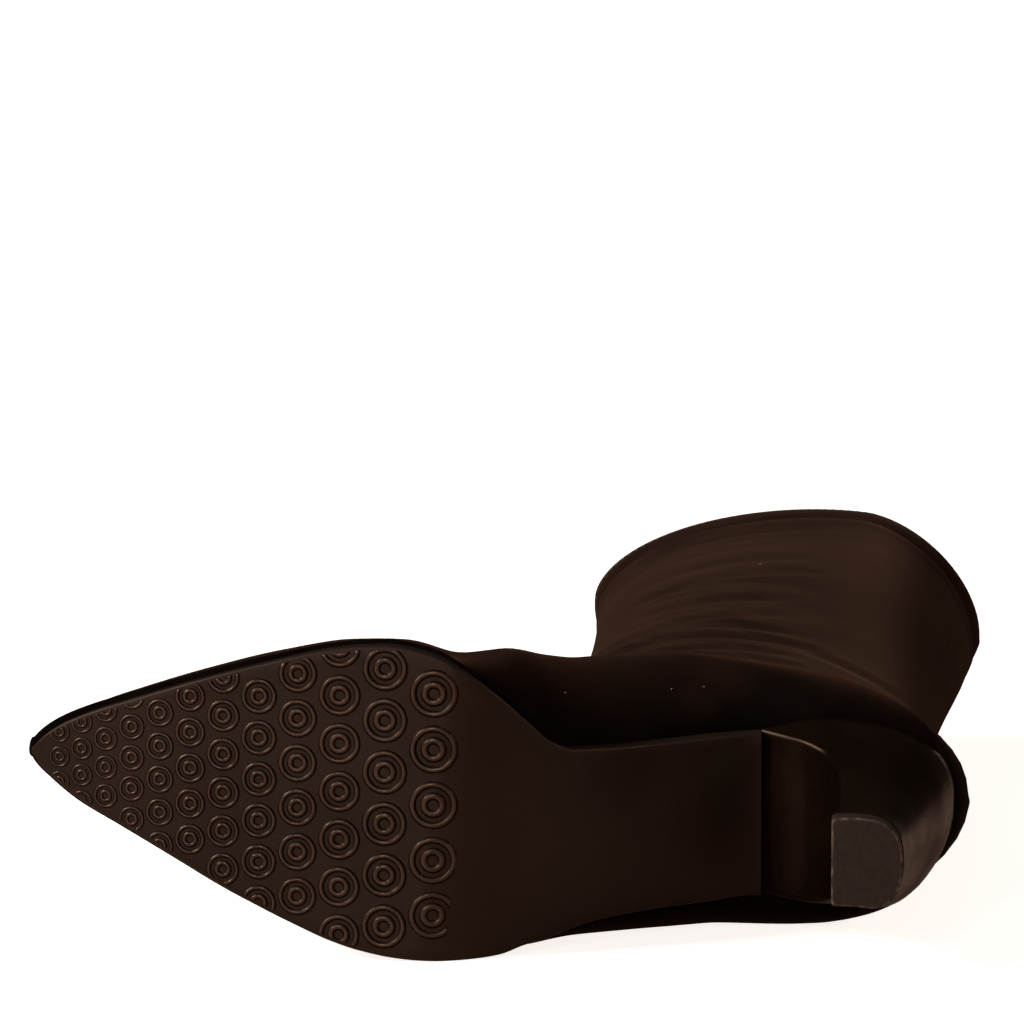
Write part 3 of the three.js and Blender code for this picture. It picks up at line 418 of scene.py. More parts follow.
def curve_through(xs, ys):
    """A smooth curve through points that never swings past them."""
    xs, ys = np.asarray(xs, float), np.asarray(ys, float)
    gaps = np.diff(xs)
    rates = np.diff(ys) / gaps
    slopes = np.concatenate([rates[:1], np.zeros(len(xs) - 2), rates[-1:]])
    for i in range(1, len(xs) - 1):
        if rates[i - 1] * rates[i] > 0:
            before = 2 * gaps[i] + gaps[i - 1]
            after = gaps[i] + 2 * gaps[i - 1]
            slopes[i] = (before + after) / (before / rates[i - 1] + after / rates[i])

    def at(x):
        i = np.clip(np.searchsorted(xs, x, side="right") - 1, 0, len(gaps) - 1)
        gap = gaps[i]
        t = (x - xs[i]) / gap
        rise = ys[i + 1] - ys[i]
        bend = (slopes[i] + slopes[i + 1]) * gap - 2 * rise
        return ys[i] + t * (slopes[i] * gap + t * (rise - slopes[i] * gap - bend + t * bend))

    return at


def along(at):
    """A place along the foot, 0 at the back, 1 at the heel breast, 2 at the toe, as a length."""
    return np.where(at < 1, at * SEAT_LENGTH, SEAT_LENGTH + (at - 1) * (FOOT_LENGTH - SEAT_LENGTH))


sole_height = curve_through(
    along(SOLE_LINE["at"]), SOLE_LINE["heel"] * HEEL_HEIGHT + SOLE_LINE["spring"] * TOE_SPRING)
outline_at = along(OUTLINE["at"])
sole_width = mix(SEAT_WIDTH, BALL_WIDTH, smooth(outline_at, SEAT_LENGTH, along(BALL_AT)))
sole_inner = curve_through(outline_at, OUTLINE["inner"] * sole_width)
sole_outer = curve_through(outline_at, OUTLINE["outer"] * sole_width)


def above_sole(x, depth):
    """x and z of the line that runs `depth` above the underside of the sole."""
    step = 0.5
    slope = (sole_height(x + step) - sole_height(x - step)) / (2 * step)
    length = np.hypot(1, slope)
    return x - depth * slope / length, sole_height(x) + depth / length


def place(x, y, z):
    """The heel end is turned in plan against the forefoot."""
    along_foot = 1 - smooth(x, SEAT_LENGTH, along(SWING_END))
    up_leg = 1 - smooth(z, HEEL_HEIGHT * SWING_TOP, HEEL_HEIGHT * (1 + SWING_TOP))
    return np.stack([x + HEEL_SWING * along_foot * up_leg * y, y, z], axis=-1)


def feather_edge(x):
    """The edge of the underside of the foot part: its inner and outer side."""
    sole_x = x - TOE_OVERHANG * smooth(x, along(BALL_AT), FOOT_LENGTH)
    at_ball = smooth(x, SEAT_LENGTH, along(BALL_AT))
    past_ball = smooth(x, along(BALL_AT), along(PAST_BALL))
    inner = mix(UPPER_OVERHANG, UPPER_OVERHANG_INNER, at_ball)
    outer = mix(UPPER_OVERHANG, -BALL_SETBACK, at_ball * (1 - past_ball))
    return sole_inner(sole_x) + inner, sole_outer(sole_x) - outer


# %% A section of the foot or leg at any place
SEAM_HALF = 1.5
FOOT_ROWS = len(FOOT["under"])
ROWS = FOOT_ROWS + len(LEG["height"])
ON_SOLE = FOOT_ROWS - len(HEEL_BACK["back"]) - 1  # last row whose low end is on the sole
foot_width = mix(BALL_WIDTH, ANKLE_WIDTH, FOOT["ankle"])
leg_width = mix(ANKLE_WIDTH, COLLAR_WIDTH, LEG["height"])
leg_depth = LEG["depth"] * mix(ANKLE_DEPTH, COLLAR_DEPTH, LEG["height"])
over_x = along(FOOT["over"])
over_z = sole_height(over_x) + FOOT["rise"] * FRONT_RISE
ankle_x = along(FOOT["under"][-1])
ankle_z = HEEL_HEIGHT + HEEL_BACK["back"][-1] * BACK_RISE
leg_middle = (ankle_x + over_x[-1]) / 2 + LEG["middle"] * COLLAR_DEPTH
COLLAR_Z = LEG_HEIGHT + HEEL_HEIGHT
seat_x, seat_z = above_sole(along(FOOT["under"][ON_SOLE]), OUTSOLE_THICKNESS + CLEARANCE)
seat_inner, seat_outer = feather_edge(along(FOOT["under"][ON_SOLE]))
seam = np.concatenate([HEEL_BACK["seam"] * ANKLE_WIDTH, LEG["seam"] * leg_width])

low_rows = np.arange(ON_SOLE, ROWS)
all_rows = np.arange(ROWS)
station = curve_through(np.arange(ON_SOLE + 1), along(FOOT["under"][: ON_SOLE + 1]))
low_end = {
    "x": curve_through(low_rows, np.concatenate([[seat_x], along(FOOT["under"][ON_SOLE + 1:]),
                                                 leg_middle - leg_depth / 2])),
    "z": curve_through(low_rows, np.concatenate([[seat_z], HEEL_HEIGHT + HEEL_BACK["back"] * BACK_RISE,
                                                 mix(ankle_z, COLLAR_Z, LEG["height"])])),
    "inner": curve_through(low_rows, np.concatenate([[seat_inner], seam + SEAM_HALF])),
    "outer": curve_through(low_rows, np.concatenate([[seat_outer], seam - SEAM_HALF])),
}
high_end = {
    "x": curve_through(all_rows, np.concatenate([over_x, leg_middle + leg_depth / 2])),
    "z": curve_through(all_rows, np.concatenate([over_z, mix(over_z[-1], COLLAR_Z, LEG["height"])])),
}
shape = {
    name: curve_through(all_rows, np.concatenate(parts))
    for name, parts in {
        "inner": (FOOT["inner"] * foot_width, LEG["inner"] * leg_width),
        "outer": (FOOT["outer"] * foot_width, LEG["outer"] * leg_width),
        "ridge": (FOOT["ridge"] * BALL_WIDTH, LEG["ridge"] * leg_width),
    }.items()
}
for name in ("level", "low", "high", "lie_level", "lie_low", "lie_high"):
    shape[name] = curve_through(all_rows, np.concatenate([FOOT[name], LEG[name]]))


def ends(row):
    """Low and high end of the section at each `row`, and the two edges of its low end."""
    on_sole = row <= ON_SOLE
    x = station(np.minimum(row, ON_SOLE))
    sole_x, sole_z = above_sole(x, OUTSOLE_THICKNESS + CLEARANCE)
    inner, outer = feather_edge(x)
    return {
        "under": (np.where(on_sole, sole_x, low_end["x"](row)), np.where(on_sole, sole_z, low_end["z"](row))),
        "over": (high_end["x"](row), high_end["z"](row)),
        "edges": (np.where(on_sole, inner, low_end["inner"](row)),
                  np.where(on_sole, outer, low_end["outer"](row))),
    }


def skin(rows, depth, low_steps, high_steps):
    """Rings of points `depth` inside the boot's surface, one for each of `rows`.

    A ring runs from the middle of the low end over the inner side and the ridge to the outer side."""
    here, before, after = ends(rows), ends(np.maximum(rows - 1, 0)), ends(np.minimum(rows + 1, ROWS - 1))
    moved = []
    for end, side in (("under", 1), ("over", -1)):
        dx = after[end][0] - before[end][0]
        dz = after[end][1] - before[end][1]
        length = np.hypot(dx, dz)
        moved.append((here[end][0] + side * depth * dz / length, here[end][1] - side * depth * dx / length))
    (under_x, under_z), (top_x, top_z) = moved
    inner_edge, outer_edge = here["edges"]
    middle = (inner_edge + outer_edge) / 2
    narrower = np.minimum(depth, (inner_edge - middle) / 2)
    form = {name: curve(rows)[:, None] for name, curve in shape.items()}
    depth = np.broadcast_to(depth, rows.shape)[:, None]

    def half(edge, wide, level, low, high):
        margin = np.minimum(LASTING_MARGIN, 0.6 * np.abs(edge - middle))
        open_edge = edge - np.sign(edge - middle) * margin
        angle = np.pi / 2 * np.arange(1, low_steps + 1) / low_steps
        low_y = mix(edge[:, None], wide, np.sin(angle) ** (2 / low))
        low_t = level * (1 - np.abs(np.cos(angle)) ** (2 / low))
        angle = np.pi / 2 * np.arange(1, high_steps) / high_steps
        high_y = mix(form["ridge"], wide, np.cos(angle) ** (2 / high))
        high_t = mix(level, 1.0, np.sin(angle) ** (2 / high))
        zero = np.zeros((len(rows), 2))
        y = np.hstack([open_edge[:, None], edge[:, None], low_y, high_y])
        return y, np.hstack([zero, low_t, high_t])

    inner_y, inner_t = half(
        inner_edge - narrower, form["inner"] - depth, form["level"], form["low"], form["high"])
    outer_y, outer_t = half(
        outer_edge + narrower, form["outer"] + depth, form["lie_level"], form["lie_low"], form["lie_high"])
    one = np.ones((len(rows), 1))
    y = np.hstack([middle[:, None], inner_y, form["ridge"], outer_y[:, ::-1]])
    t = np.hstack([0 * one, inner_t, one, outer_t[:, ::-1]])
    return place(mix(under_x[:, None], top_x[:, None], t), y, mix(under_z[:, None], top_z[:, None], t))


print("rows:", FOOT_ROWS, "on the foot part,", ROWS, "in all")


# %% [markdown]
# ## Making meshes from rings
# Most pieces are lofts: rings of points with as many points each, joined by quads. One helper joins the
# rings and closes the ends, and it lays out a UV map in real metres, so that a streak or a weave keeps
# its size on the surface. Normals are worked out again at the end, so every piece faces outwards.

# %% Mesh helpers
def ring_faces(count, points, start=0, wrap=False, keep=None):
    """Quads between `count` rings of `points` points. `keep` says which to keep, by ring and point."""
    faces = []
    for ring in range(count if wrap else count - 1):
        a = start + ring * points
        b = start + ((ring + 1) % count) * points
        for i in range(points):
            j = (i + 1) % points
            if keep is None or keep(ring, i):
                faces.append((a + i, a + j, b + j, b + i))
    return faces


def surface_lengths(rings):
    """For each point of the rings, its distance round the ring and along the surface, in metres."""
    steps = np.linalg.norm(np.diff(rings, axis=1), axis=2)
    around = np.concatenate([np.zeros((len(rings), 1)), np.cumsum(steps, axis=1)], axis=1)
    around -= around.max(axis=1, keepdims=True) / 2
    runs = np.linalg.norm(np.diff(rings, axis=0), axis=2).mean(axis=1)
    length = np.concatenate([[0], np.cumsum(runs)])[:, None] + 0 * around
    return np.stack([around, length], axis=-1).reshape(-1, 2) * MM


def normals_of(rings):
    """Outward directions at the points of rings that are closed round."""
    around = np.roll(rings, -1, axis=1) - np.roll(rings, 1, axis=1)
    length = np.gradient(rings, axis=0)
    normal = np.cross(around, length)
    normal /= np.maximum(np.linalg.norm(normal, axis=2, keepdims=True), 1e-9)
    centre = rings.mean(axis=1, keepdims=True)
    if np.sum(normal * (rings - centre)) < 0:
        normal = -normal
    return normal


def mesh_piece(name, points, faces, materials, uv=None, values=None, face_slots=None, smooth_angle=0.6):
    """A finished piece from points of the standing boot in millimetres."""
    mesh = bpy.data.meshes.new(name)
    mesh.from_pydata(to_frame(points).tolist(), [], faces)
    for material in materials:
        mesh.materials.append(material)
    if face_slots is not None:
        mesh.polygons.foreach_set("material_index", np.asarray(face_slots, np.int32))
    corners = np.empty(len(mesh.loops), np.int32)
    mesh.loops.foreach_get("vertex_index", corners)
    if uv is not None:
        layer = mesh.uv_layers.new(name="surface")
        layer.data.foreach_set("uv", np.asarray(uv, np.float32)[corners].ravel())
    for value_name, value in (values or {}).items():
        attribute = mesh.attributes.new(value_name, "FLOAT", "POINT")
        attribute.data.foreach_set("value", np.asarray(value, np.float32))
    piece = smooth_outwards(add_object(name, mesh))
    mesh.set_sharp_from_angle(angle=smooth_angle)
    return piece


def smooth_outwards(piece):
    """Turns every face of a closed mesh outwards and shades it smooth."""
    work = bmesh.new()
    work.from_mesh(piece.data)
    bmesh.ops.recalc_face_normals(work, faces=work.faces)
    if work.calc_volume(signed=True) < 0:
        bmesh.ops.reverse_faces(work, faces=work.faces)
    work.to_mesh(piece.data)
    work.free()
    faces = piece.data.polygons
    faces.foreach_set("use_smooth", np.ones(len(faces), bool))
    print(piece.name, "-", len(faces), "faces")
    return piece


def fan(ring_start, points, centre):
    """Triangles from a ring to a middle point."""
    return [(ring_start + i, ring_start + (i + 1) % points, centre) for i in range(points)]


def closed_loft(rings):
    """Points and faces of a row of rings whose ends are closed, each by a fan round its middle."""
    size = rings.shape[1]
    points = np.vstack([rings.reshape(-1, 3), rings[0].mean(axis=0), rings[-1].mean(axis=0)])
    faces = ring_faces(len(rings), size) + fan(0, size, len(points) - 2)
    return points, faces + fan((len(rings) - 1) * size, size, len(points) - 1)


# %% [markdown]
# ## Suede and lining
# Suede is leather with its nap raised: thousands of short fibres. It has next to no gloss, but a soft
# light at its rim where the fibres catch light from behind, which is what sheen is for. Rubbed patches
# lie a shade lighter. The patches here are painted as values on the mesh, and finer ones come from noise.
# The leg is stretch suede and shows soft marks round the shaft besides. A few darker spots on it are painted
# shade. Its lining is knitted.

# %% Suede materials
def suede(name, dark, light, rub, streak, sheen, tint):
    """Suede with cloudy patches, fibres, rubbed patches `rub` times as light, marks by `streak` and painted
    shade.
    """
    material, tree, shader = new_material(
        name, Roughness=0.92, Specular_IOR_Level=0.04, Sheen_Weight=sheen, Sheen_Roughness=0.42,
        Sheen_Tint=tint)
    space = in_space(tree)
    clouds = noise(tree, space, 38.0, 4.0, 0.55)
    fibres = noise(tree, space, 1900.0, 3.0, 0.6)
    grain = noise(tree, space, 420.0, 3.0, 0.6)
    marks = noise(tree, on_surface(tree), 1.0, 3.0, 0.6, stretch=(9.0, 95.0, 1.0))
    patchy = blend(tree, spread(tree, clouds, 0.36, 0.68), dark, light)
    worn = tuple(min(1.0, rub * value) for value in light)
    napped = blend(tree, spread(tree, painted(tree, "nap"), 0.0, 1.0, 0.0, 0.8), patchy, worn)
    # painted shade: where the nap value is below zero the colour is pulled towards the dark colour
    deep = blend(tree, spread(tree, painted(tree, "nap"), -1.0, 0.0, 0.75, 0.0), napped, dark)
    lit_marks = sum_or_product(
        tree, "MULTIPLY", spread(tree, marks, 0.42, 0.72, 0.0, streak), painted(tree, "streaks"))
    streaked = blend(tree, lit_marks, deep, worn)
    speckled = blend(tree, spread(tree, fibres, 0.35, 0.75, 0.0, 0.35), streaked, dark)
    soft = bump(tree, grain, 0.25, 0.0002)
    feed_all(shader, Base_Color=speckled, Normal=bump(tree, fibres, 0.5, 0.00012, soft))
    return material


FOOT_DARK = (0.00123, 0.00053, 0.00029)
FOOT_LIGHT = (0.00346, 0.00167, 0.00105)
LEG_DARK = (0.00963, 0.00451, 0.0028)
LEG_LIGHT = (0.0173, 0.00845, 0.00538)
foot_suede = suede("foot suede", FOOT_DARK, FOOT_LIGHT, 3.6, 0.05, 0.035, (1.0, 0.42, 0.22))
leg_suede = suede("leg suede", LEG_DARK, LEG_LIGHT, 2.1, 0.45, 0.04, (1.0, 0.52, 0.34))

# %% Lining
LINING = (0.03, 0.022, 0.018)
lining, tree, shader = new_material(
    "knitted lining", Base_Color=LINING, Roughness=0.8, Specular_IOR_Level=0.2)
knit = node(tree, "ShaderNodeTexWave",
            {"Vector": on_surface(tree), "Scale": 160.0, "Distortion": 1.5, "Detail": 1.0},
            wave_type="BANDS", bands_direction="X")
feed_all(shader, Normal=bump(tree, knit.outputs["Fac"], 0.35, 0.0002))

# %% [markdown]
# ## Foot part
# The foot part is one hollow shell: an outer skin, a cut edge at the top and an inner skin, with the
# opening underneath that a maker leaves inside the turned-in edge. Rows are closer together where the
# form turns faster. Its soft creases are laid over the skin afterwards, each at a place of its own.

# %% Soft creases
def arc_share(rings):
    """For each point of the rings, how far round it lies: 0 at the back seam, 0.5 at the front ridge."""
    ridge = rings.shape[1] // 2
    steps = np.linalg.norm(np.diff(rings, axis=1, append=rings[:, :1]), axis=2)
    run = np.concatenate([np.zeros((len(rings), 1)), np.cumsum(steps, axis=1)[:, :-1]], axis=1)
    first = run[:, ridge:ridge + 1]
    total = steps.sum(axis=1, keepdims=True)
    return np.where(run <= first, 0.5 * run / first, 0.5 + 0.5 * (run - first) / (total - first))


def swell(off, width):
    """A soft bump across a line, 1 on it."""
    return np.exp(-(off / width) ** 2)


RIDGE_SHARE = 0.55  # height of the ridge on both sides of a trough, as a share of its depth
RIDGE_AT = 1.7  # how far from the line the ridge runs, in half widths
RIDGE_SPREAD = 0.9
ENDS_FADE = 0.3  # share of a crease over which it fades in, and out again


def crease_depth(around, height, creases):
    """Sum of soft troughs and ridges. A crease runs from one (share round, height) to another."""
    total = np.zeros(around.shape)
    for start, z0, end, z1, bow, width, deep in creases:
        t = (around - start) / (end - start)
        line = mix(z0, z1, t) + bow * 4 * t * (1 - t)
        off = (height - line) / width
        fade = smooth(t, 0.0, ENDS_FADE) * (1 - smooth(t, 1 - ENDS_FADE, 1.0))
        ridge = np.exp(-((np.abs(off) - RIDGE_AT) ** 2) / RIDGE_SPREAD)
        total += fade * deep * (-np.exp(-off * off) + RIDGE_SHARE * ridge)
    return total


# %% Build the foot part
TIP_ROUND = 1.4  # how far the toe tip is rounded beyond its first section
OPEN_ROWS = (5, 17)  # sections between which the foot part is open underneath
INNER_FROM = 2  # first section of the inner skin
ROW_STEPS = 6
RIM_RISE = 0.25  # how far the middle of the cut edge stands above its sides, in steps of the skin
LOW_STEPS, HIGH_STEPS = 10, 22
foot_rows = np.linspace(0, FOOT_ROWS - 1, (FOOT_ROWS - 1) * ROW_STEPS + 1)
outer_skin = skin(foot_rows, 0.0, LOW_STEPS, HIGH_STEPS)
RING = outer_skin.shape[1]

# shallow folds where the foot bends: start and end round the foot, with their heights, the bow between
# them, half width and depth
FOOT_CREASES = [
    (0.30, 118, 0.62, 121, 3, 3.2, 0.45),
    (0.34, 105, 0.60, 107, 3, 3.0, 0.35),
    (0.20, 99, 0.40, 112, 2, 4.0, 0.4),
    (0.62, 112, 0.80, 98, 2, 4.0, 0.45),
]
outer_skin += crease_depth(arc_share(outer_skin), outer_skin[..., 2], FOOT_CREASES)[..., None] \
    * normals_of(outer_skin)

# raised seam down the back, from the top line to the heel seat
BACK_SEAM_WIDTH = 1.6
BACK_SEAM_RISE = 0.5
SEAM_BEGINS = (0.5, 1.5)  # sections above the heel seat over which it comes up
beside = np.linalg.norm(outer_skin - outer_skin[:, :1], axis=2)
on_back = smooth(foot_rows, ON_SOLE + SEAM_BEGINS[0], ON_SOLE + SEAM_BEGINS[1])[:, None]
outer_skin += (BACK_SEAM_RISE * on_back * swell(beside, BACK_SEAM_WIDTH))[..., None] * normals_of(outer_skin)

first = outer_skin[0]
middle_of_tip = first.mean(axis=0)
tip_rings = []
for turn_by in np.radians((75, 50, 25)):
    ring = middle_of_tip + (first - middle_of_tip) * np.cos(turn_by)
    ring[:, 0] += TIP_ROUND * np.sin(turn_by)
    tip_rings.append(ring)
tip = len(tip_rings)
inner_rows = foot_rows[foot_rows >= INNER_FROM][::-1]
inner_skin = skin(inner_rows, UPPER_WALL, LOW_STEPS, HIGH_STEPS)
rim = (outer_skin[-1] + inner_skin[0]) / 2 + RIM_RISE * (outer_skin[-1] - outer_skin[-2])
rings = np.concatenate([tip_rings, outer_skin, rim[None], inner_skin])
rim_ring = tip + len(outer_skin)


def outer_ring(row):
    return tip + int(round(row * ROW_STEPS))


def inner_ring(row):
    return rim_ring + 1 + int(round((FOOT_ROWS - 1 - row) * ROW_STEPS))


def keep_face(ring, point):
    """Leaves the opening underneath out of both skins."""
    if point not in (RING - 1, 0):
        return True
    on_outer = outer_ring(OPEN_ROWS[0]) <= ring < outer_ring(OPEN_ROWS[1])
    on_inner = inner_ring(OPEN_ROWS[1]) <= ring < inner_ring(OPEN_ROWS[0])
    return not (on_outer or on_inner)


faces = ring_faces(len(rings), RING, keep=keep_face)
opening = np.arange(OPEN_ROWS[0] * ROW_STEPS, OPEN_ROWS[1] * ROW_STEPS + 1)
for point in (1, RING - 1):
    for step_a, step_b in zip(opening[:-1], opening[1:]):
        a, b = step_a / ROW_STEPS, step_b / ROW_STEPS
        faces.append((outer_ring(a) * RING + point, outer_ring(b) * RING + point,
                      inner_ring(b) * RING + point, inner_ring(a) * RING + point))
for row in OPEN_ROWS:
    for p, q in ((RING - 1, 0), (0, 1)):
        faces.append((outer_ring(row) * RING + p, outer_ring(row) * RING + q,
                      inner_ring(row) * RING + q, inner_ring(row) * RING + p))
points = rings.reshape(-1, 3)
tip_point = middle_of_tip + np.array([TIP_ROUND, 0, 0])
inner_tip = inner_skin[-1].mean(axis=0)
points = np.vstack([points, tip_point, inner_tip])
faces += fan(0, RING, len(points) - 2) + fan((len(rings) - 1) * RING, RING, len(points) - 1)


# %% Lighter nap where the suede was brushed
def blobs(points, spots):
    """1 inside soft spots given by place and radius in millimetres, 0 outside."""
    total = np.zeros(len(points))
    for x, y, z, radius, strength in spots:
        far = np.linalg.norm(points - np.array([x, y, z]), axis=1) / radius
        total = np.maximum(total, strength * np.exp(-far ** 4))
    return total


FOOT_NAP = [
    (73, 31, 70, 11, 0.55),
    (68, 31, 90, 15, 0.75),
    (78, 28, 57, 7, 0.5),
    (50, 30, 96, 13, 0.4),
    (112, 34, 36, 12, 0.35),
    (132, 38, 18, 9, 0.4),
]
uv = np.vstack([surface_lengths(rings), np.zeros((2, 2))])
upper = mesh_piece("upper_suede", points, faces, [foot_suede], uv=uv, values={"nap": blobs(points, FOOT_NAP)})

# %% [markdown]
# ## Leg
# The leg is a tube of stretch suede that has gone slack: it sags into soft folds across the shaft, most
# of them gathered at the ankle, and its turned band flares at the collar. The folds are listed one by one,
# each as a line across the leg with a width and a depth. The same folds go into the inner skin, so that
# the wall keeps its thickness.

# %% Build the leg
LAP_ROWS = 1
BLEND_ROWS = 3
LEG_STEPS = 14
LEG_FINE_LOW, LEG_FINE_HIGH = 24, 34
HEM_STEP = (1.5, 0.5)  # millimetres below and above the hem's lower edge over which the wall thickens
first_row = FOOT_ROWS - 1 - LAP_ROWS
leg_rows = np.linspace(first_row, ROWS - 1, (ROWS - 1 - first_row) * LEG_STEPS + 1)
lap_ends = first_row + LAP_ROWS
tucked = (UPPER_WALL + CLEARANCE) * (1 - smooth(leg_rows, lap_ends, lap_ends + BLEND_ROWS))
low_z = low_end["z"](leg_rows)
wall = mix(LEG_WALL, HEM_WALL, smooth(COLLAR_Z - low_z, HEM_HEIGHT + HEM_STEP[0], HEM_HEIGHT - HEM_STEP[1]))
leg_out = skin(leg_rows, tucked, LEG_FINE_LOW, LEG_FINE_HIGH)
leg_in = skin(leg_rows, tucked + wall, LEG_FINE_LOW, LEG_FINE_HIGH)

# start and end round the leg, with their heights, the bow between them, half width and depth
LEG_CREASES = [
    (0.18, 152, 0.47, 146, 2, 3.0, 0.8),
    (0.19, 166, 0.48, 160, 2, 3.2, 1.0),
    (0.16, 183, 0.49, 178, 3, 3.6, 1.1),
    (0.20, 199, 0.48, 201, 2, 4.0, 1.1),
    (0.21, 226, 0.42, 200, 2, 4.4, 0.9),
    (0.22, 248, 0.43, 230, 2, 5.0, 0.9),
    (0.28, 272, 0.44, 262, 2, 5.5, 0.6),
    (0.20, 298, 0.40, 270, 2, 6.0, 0.8),
    (0.22, 322, 0.40, 303, 2, 6.5, 0.7),
    (0.25, 352, 0.44, 340, 2, 7.0, 0.5),
    (0.20, 396, 0.40, 386, 2, 7.0, 0.45),
    (0.05, 158, 0.24, 186, -3, 5.0, 0.5),
    (0.55, 140, 0.90, 150, -4, 4.0, 0.9),
    (0.58, 166, 0.92, 172, -4, 5.0, 0.8),
    (0.52, 198, 0.86, 205, -4, 6.0, 0.6),
    (0.60, 240, 0.95, 246, -3, 7.0, 0.5),
]
around = arc_share(leg_out)
height = leg_out[..., 2]
folds = crease_depth(around, height, LEG_CREASES)
HEM_STITCH_DOWN = 19.0  # the stitched line of the turned band below the collar
hem_line = COLLAR_Z - HEM_STITCH_DOWN
HEM_WAIST = 8.0  # half width of the dip that the stitched line pulls into the slack leg
HEM_STITCH_WIDTH = 1.3
HEM_STITCH_DEPTH = 0.35
BULGE_SHARE = 0.3  # height of the bulge below the dip, as a share of the dip
BULGE_DOWN = 2.6  # how far down it lies, in half widths of the dip
COLLAR_CALM = 4.0  # millimetres below the edge in which the folds fade
LAP_CALM = (1.2, 2.0)  # sections above the first over which they begin
LEG_SEAM_RISE = 0.4
DIP_ROUND = ((0, 4.0), (0.09, 4.2), (0.17, 2.2), (0.25, 2.0), (0.33, 3.6), (0.42, 6.0), (0.5, 5.0),
             (0.62, 1.5), (0.9, 1.5), (1, 4.0))  # share round the leg and depth of the dip there
dip = np.interp(around, *zip(*DIP_ROUND))
folds -= dip * swell(height - hem_line, HEM_WAIST)
folds += BULGE_SHARE * dip * swell(height - hem_line + BULGE_DOWN * HEM_WAIST, HEM_WAIST)
folds -= HEM_STITCH_DEPTH * swell(height - hem_line, HEM_STITCH_WIDTH)
folds *= 1 - smooth(height, COLLAR_Z - COLLAR_CALM, COLLAR_Z)
folds *= smooth(leg_rows, first_row + LAP_CALM[0], first_row + LAP_CALM[1])[:, None]
seam_gap = np.linalg.norm(leg_out - leg_out[:, :1], axis=2)
folds += LEG_SEAM_RISE * swell(seam_gap, BACK_SEAM_WIDTH)
shift = folds[..., None] * normals_of(leg_out)
leg_out = leg_out + shift
leg_in = leg_in + shift

# the turned edge at the collar, round in section
edge_out, edge_in = leg_out[-1], leg_in[-1]
edge_middle = (edge_out + edge_in) / 2
edge_run = leg_out[-1] - leg_out[-3]
edge_run /= np.linalg.norm(edge_run, axis=1, keepdims=True)
fold_rings = []
for turn_by in np.radians((30, 60, 90, 120, 150)):
    fold_rings.append(edge_middle + (edge_out - edge_middle) * np.cos(turn_by)
                      + edge_run * 0.5 * HEM_WALL * np.sin(turn_by))
leg_rings = np.concatenate([leg_out, fold_rings, leg_in[::-1]])
LEG_RING = leg_rings.shape[1]
leg_faces = ring_faces(len(leg_rings), LEG_RING, wrap=True)
inside_from = (len(leg_out) + len(fold_rings)) * LEG_RING
slots = [1 if min(face) >= inside_from else 0 for face in leg_faces]
LEG_NAP = [
    (84, 26, 330, 60, 0.45),
    (100, 20, 235, 45, 0.4),
    (30, 31, 368, 14, 0.4),
]
# painted shade: darker spots where the leg turns away from the key light, taken off the nap value
LEG_PAINTED_SHADE = [
    (24, 26, 262, 42, 0.9),
    (44, 30, 205, 26, 0.5),
    (112, 9, 448, 26, 0.7),
]
leg_points = leg_rings.reshape(-1, 3)
leg_around = arc_share(leg_rings).ravel()
streaks = smooth(leg_around, 0.17, 0.27) * (1 - smooth(leg_around, 0.5, 0.62))
# the nap value holds the lighter nap, and below zero the painted shade
leg_values = {"nap": blobs(leg_points, LEG_NAP) - blobs(leg_points, LEG_PAINTED_SHADE), "streaks": streaks}
leg = mesh_piece("leg_suede", leg_points, leg_faces, [leg_suede, lining], uv=surface_lengths(leg_rings),
                 values=leg_values, face_slots=slots)

# %% [markdown]
# ## Outsole
# The sole is a thin moulded rubber sheet: smooth under the waist, with raised figures under the forefoot
# so that it grips. Its lower edge is rounded, and that thin line of light round the sole is what shows
# its thickness. The sheet itself is a grid across and along; the figures are made afterwards.

# %% Rubber
def rubber(name, colour, light, roughness, pebble, gloss):
    """Satin moulded rubber with a pebbled skin."""
    material, tree, shader = new_material(name, Specular_IOR_Level=gloss, Specular_Tint=(1.0, 0.68, 0.52))
    clouds = noise(tree, in_space(tree), 22.0, 3.0)
    pebbles = noise(tree, in_space(tree), 1300.0, 2.0)
    feed_all(shader, Base_Color=blend(tree, spread(tree, clouds, 0.35, 0.7), colour, light),
             Roughness=spread(tree, clouds, 0.3, 0.7, roughness - 0.05, roughness + 0.06),
             Normal=bump(tree, pebbles, pebble, 0.0001))
    return material


sole_rubber = rubber("sole rubber", (0.0105, 0.0066, 0.0049), (0.0145, 0.0092, 0.0069), 0.46, 0.5, 0.2)
# painted highlight: the rings are the sole's own rubber, made over twice as light for the light their raised
# faces catch
lit_tread_rubber = rubber("tread rubber painted lighter", (0.025, 0.0145, 0.01), (0.033, 0.0195, 0.0138), 0.26, 0.2, 0.4)
# painted shade: a near-black rubber for the band along each ribbon's foot, where shade falls
painted_shade_rubber = rubber("painted shade rubber", (0.003, 0.0014, 0.0008), (0.005, 0.0026, 0.0016), 0.6, 0.2, 0.1)

